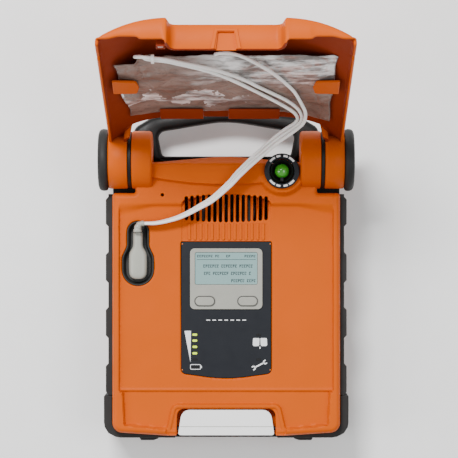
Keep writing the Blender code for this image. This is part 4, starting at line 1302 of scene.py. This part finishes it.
def make_status():
    """The status window: a ring with short marks, and a ball in a dark bowl behind a tab."""
    ring = [(11.0, 77.3), (15.8, 77.3), (15.8, 80.2), (15.5, 80.9), (14.9, 81.2), (12.0, 81.2), (11.4, 80.9),
            (11.0, 80.2)]
    mesh = turned_mesh(ring, (*STATUS, 0), "Z", 96, True)
    add_piece("indicator_ring", mesh, "navy", "root", 40, "status_ring")
    spans = ((38, 62), (68, 84), (96, 112), (118, 142), (218, 242), (248, 264), (276, 292), (298, 322))
    for k, (start, end) in enumerate(spans):
        outline = arc(STATUS, 14.4, start, end, 10) + arc(STATUS, 12.6, end, start, 10)
        decal("ring_mark_%d" % (k + 1), outline, "mark", 81.2, 0.1)
    bowl = [(0, 64.5), (10.3, 64.5), (10.3, 79.2), (10.0, 79.5), (9.7, 79.2)]
    bowl += [(9.6 - 0.3 * k, 79.0 - 0.7 * k) for k in range(1, 6)]
    bowl += [(7.3 * math.cos(a), 75.0 - 7.3 * math.sin(a)) for a in (0.1, 0.4, 0.8, 1.2)] + [(0, 67.7)]
    add_piece("indicator_bowl", turned_mesh(bowl, (*STATUS, 0)), "black", "root", 40, "status_dish")
    radius, middle = 6.6, 75
    turns = [math.pi * i / 24 for i in range(1, 24)]
    ball = [(0, middle - radius)] + [(radius * math.sin(a), middle - radius * math.cos(a)) for a in turns]
    mesh = turned_mesh(ball + [(0, middle + radius)], (*STATUS, 0), "Z", 64)
    add_piece("indicator_ball", mesh, "ball", "status_ball", 60, "status_ball")
    x, y = STATUS
    notch = arc((x, y - 7.0), 1.3, 0, 180, 8) + [(x - 1.3, y - 9.2), (x + 1.3, y - 9.2)]
    decal("indicator_tab", notch, "black", 76.5, 3.2)


# ---------------------------------------------------------------- rubber, handle, latch

def weld(bm):
    bmesh.ops.remove_doubles(bm, verts=bm.verts, dist=0.00002)


def make_handle():
    """A flat bow with rounded edges, and the tangs that root it in the housing."""
    outer = mirrored([(85, 121, 2), (85, 153, 9), (68, 163, 24)], (0, 174, 120))
    inner = mirrored([(59, 127, 4), (64, 149.4, 7)], (0, 160, 100))
    outside = dense_loops(outer, [0, 1.5, 4.5], 4.0)
    hole = dense_loops(inner, [0, -1.5, -4.5], 4.0)
    points, faces = [], []
    plan, found, rings = conforming(outside[2], [hole[2]], 5.0)
    top, bottom = 34.0, 12.0
    for z in (top, bottom):
        start = len(points)
        points += [(x, y, z) for x, y in plan]
        faces += [tuple(start + i for i in f) for f in found]
        if z == bottom:
            continue
        for ring, loops in ((rings[0], outside), (rings[1], hole)):
            steps = ((1, 32.6), (0, 29.0), (0, 17.0), (1, 13.4), (2, bottom))
            add_rings(points, faces, ring, [[(x, y, z) for x, y in loops[k]] for k, z in steps])
    mesh = reworked(mesh_of(points, faces), weld, face_out)
    add_piece("carry_handle", mesh, "handle", "root", 60, "handle")
    for side, word in SIDES:
        tang = box_mesh(sorted((side * 64, side * 76)), (106, 122), (16, 28))
        bevelled(add_piece("handle_tang_" + word, tang, "handle", "root"), 0.8)


def fuller(piece, low, reach):
    """Move the outer sides of a rubber piece outwards."""
    for v in piece.data.vertices:
        if abs(v.co.x) > low * MM:
            v.co.x += math.copysign(reach * MM, v.co.x)


def make_rubber():
    for _, word in SIDES:
        fuller(refined("bumper_" + word, "side_bumper_" + word, "rubber", "root", 1.4), 104.4, 1.3)
    fuller(refined("corner_boot", "bottom_boot", "rubber", "root", 0.9), 104.4, 1.2)
    for _, word in SIDES:
        refined("end_foot_" + word, "foot_" + word, "rubber", "root", 1.0)


def make_small_parts():
    refined("latch_lever", "latch", "white", "latch", 1.0, 4)
    add_piece("latch_line", box_mesh((-41.6, 41.6), (-118.0, -117.5), (67.2, 67.55)), "plug", "latch")
    for _, word in SIDES:
        refined("key_" + word, "soft_key_" + word, "grey", "soft_key_" + word, 0.5)
    refined("bezel", "display_bezel", "grey", "root", 0.35)
    plate = prism_mesh(panel_outline(0), 63.6, PANEL_Z)
    bevelled(add_piece("overlay_plate", plate, "navy", "root", 40, "control_panel"), 0.3, 2)
    refined("rear_shell", "rear_housing", "orange", "root", 1.2)


def dress_frame():
    """Every CAD node that stays gets a procedural material in place of its plain one."""
    by_look = {
        "rubber": ["housing_gasket", "hinge_bush_left", "hinge_bush_right"],
        "handle": ["battery_pack"],
        "display": ["display"],
        "lead": ["lead_tie"],
        "winding": ["transformer"],
        "board": ["main_board"],
        "black": ["speaker_cone", "speaker_frame", "battery_bay", "latch_pin"],
        "lamp": ["battery_light_%d" % k for k in range(1, 5)],
        "unlit": ["pads_light", "service_light"],
    }
    chosen = {node: look for look, nodes in by_look.items() for node in nodes}
    for name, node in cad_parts.items():
        node.data.materials.clear()
        node.data.materials.append(looks[chosen.get(name, "steel")].material)


add_camera()
make_looks()
add_studio()
dress_frame()
make_leads()
make_socket()
make_plug()
make_elbow()
make_grille_ribs()
make_front_housing()
make_hinge_posts()
make_hinge_seams()
make_lid_shell()
make_lid_ears()
make_lid_clips()
make_pouch()
make_panel_marks()
make_display_content()
make_status()
make_handle()
make_rubber()
make_small_parts()
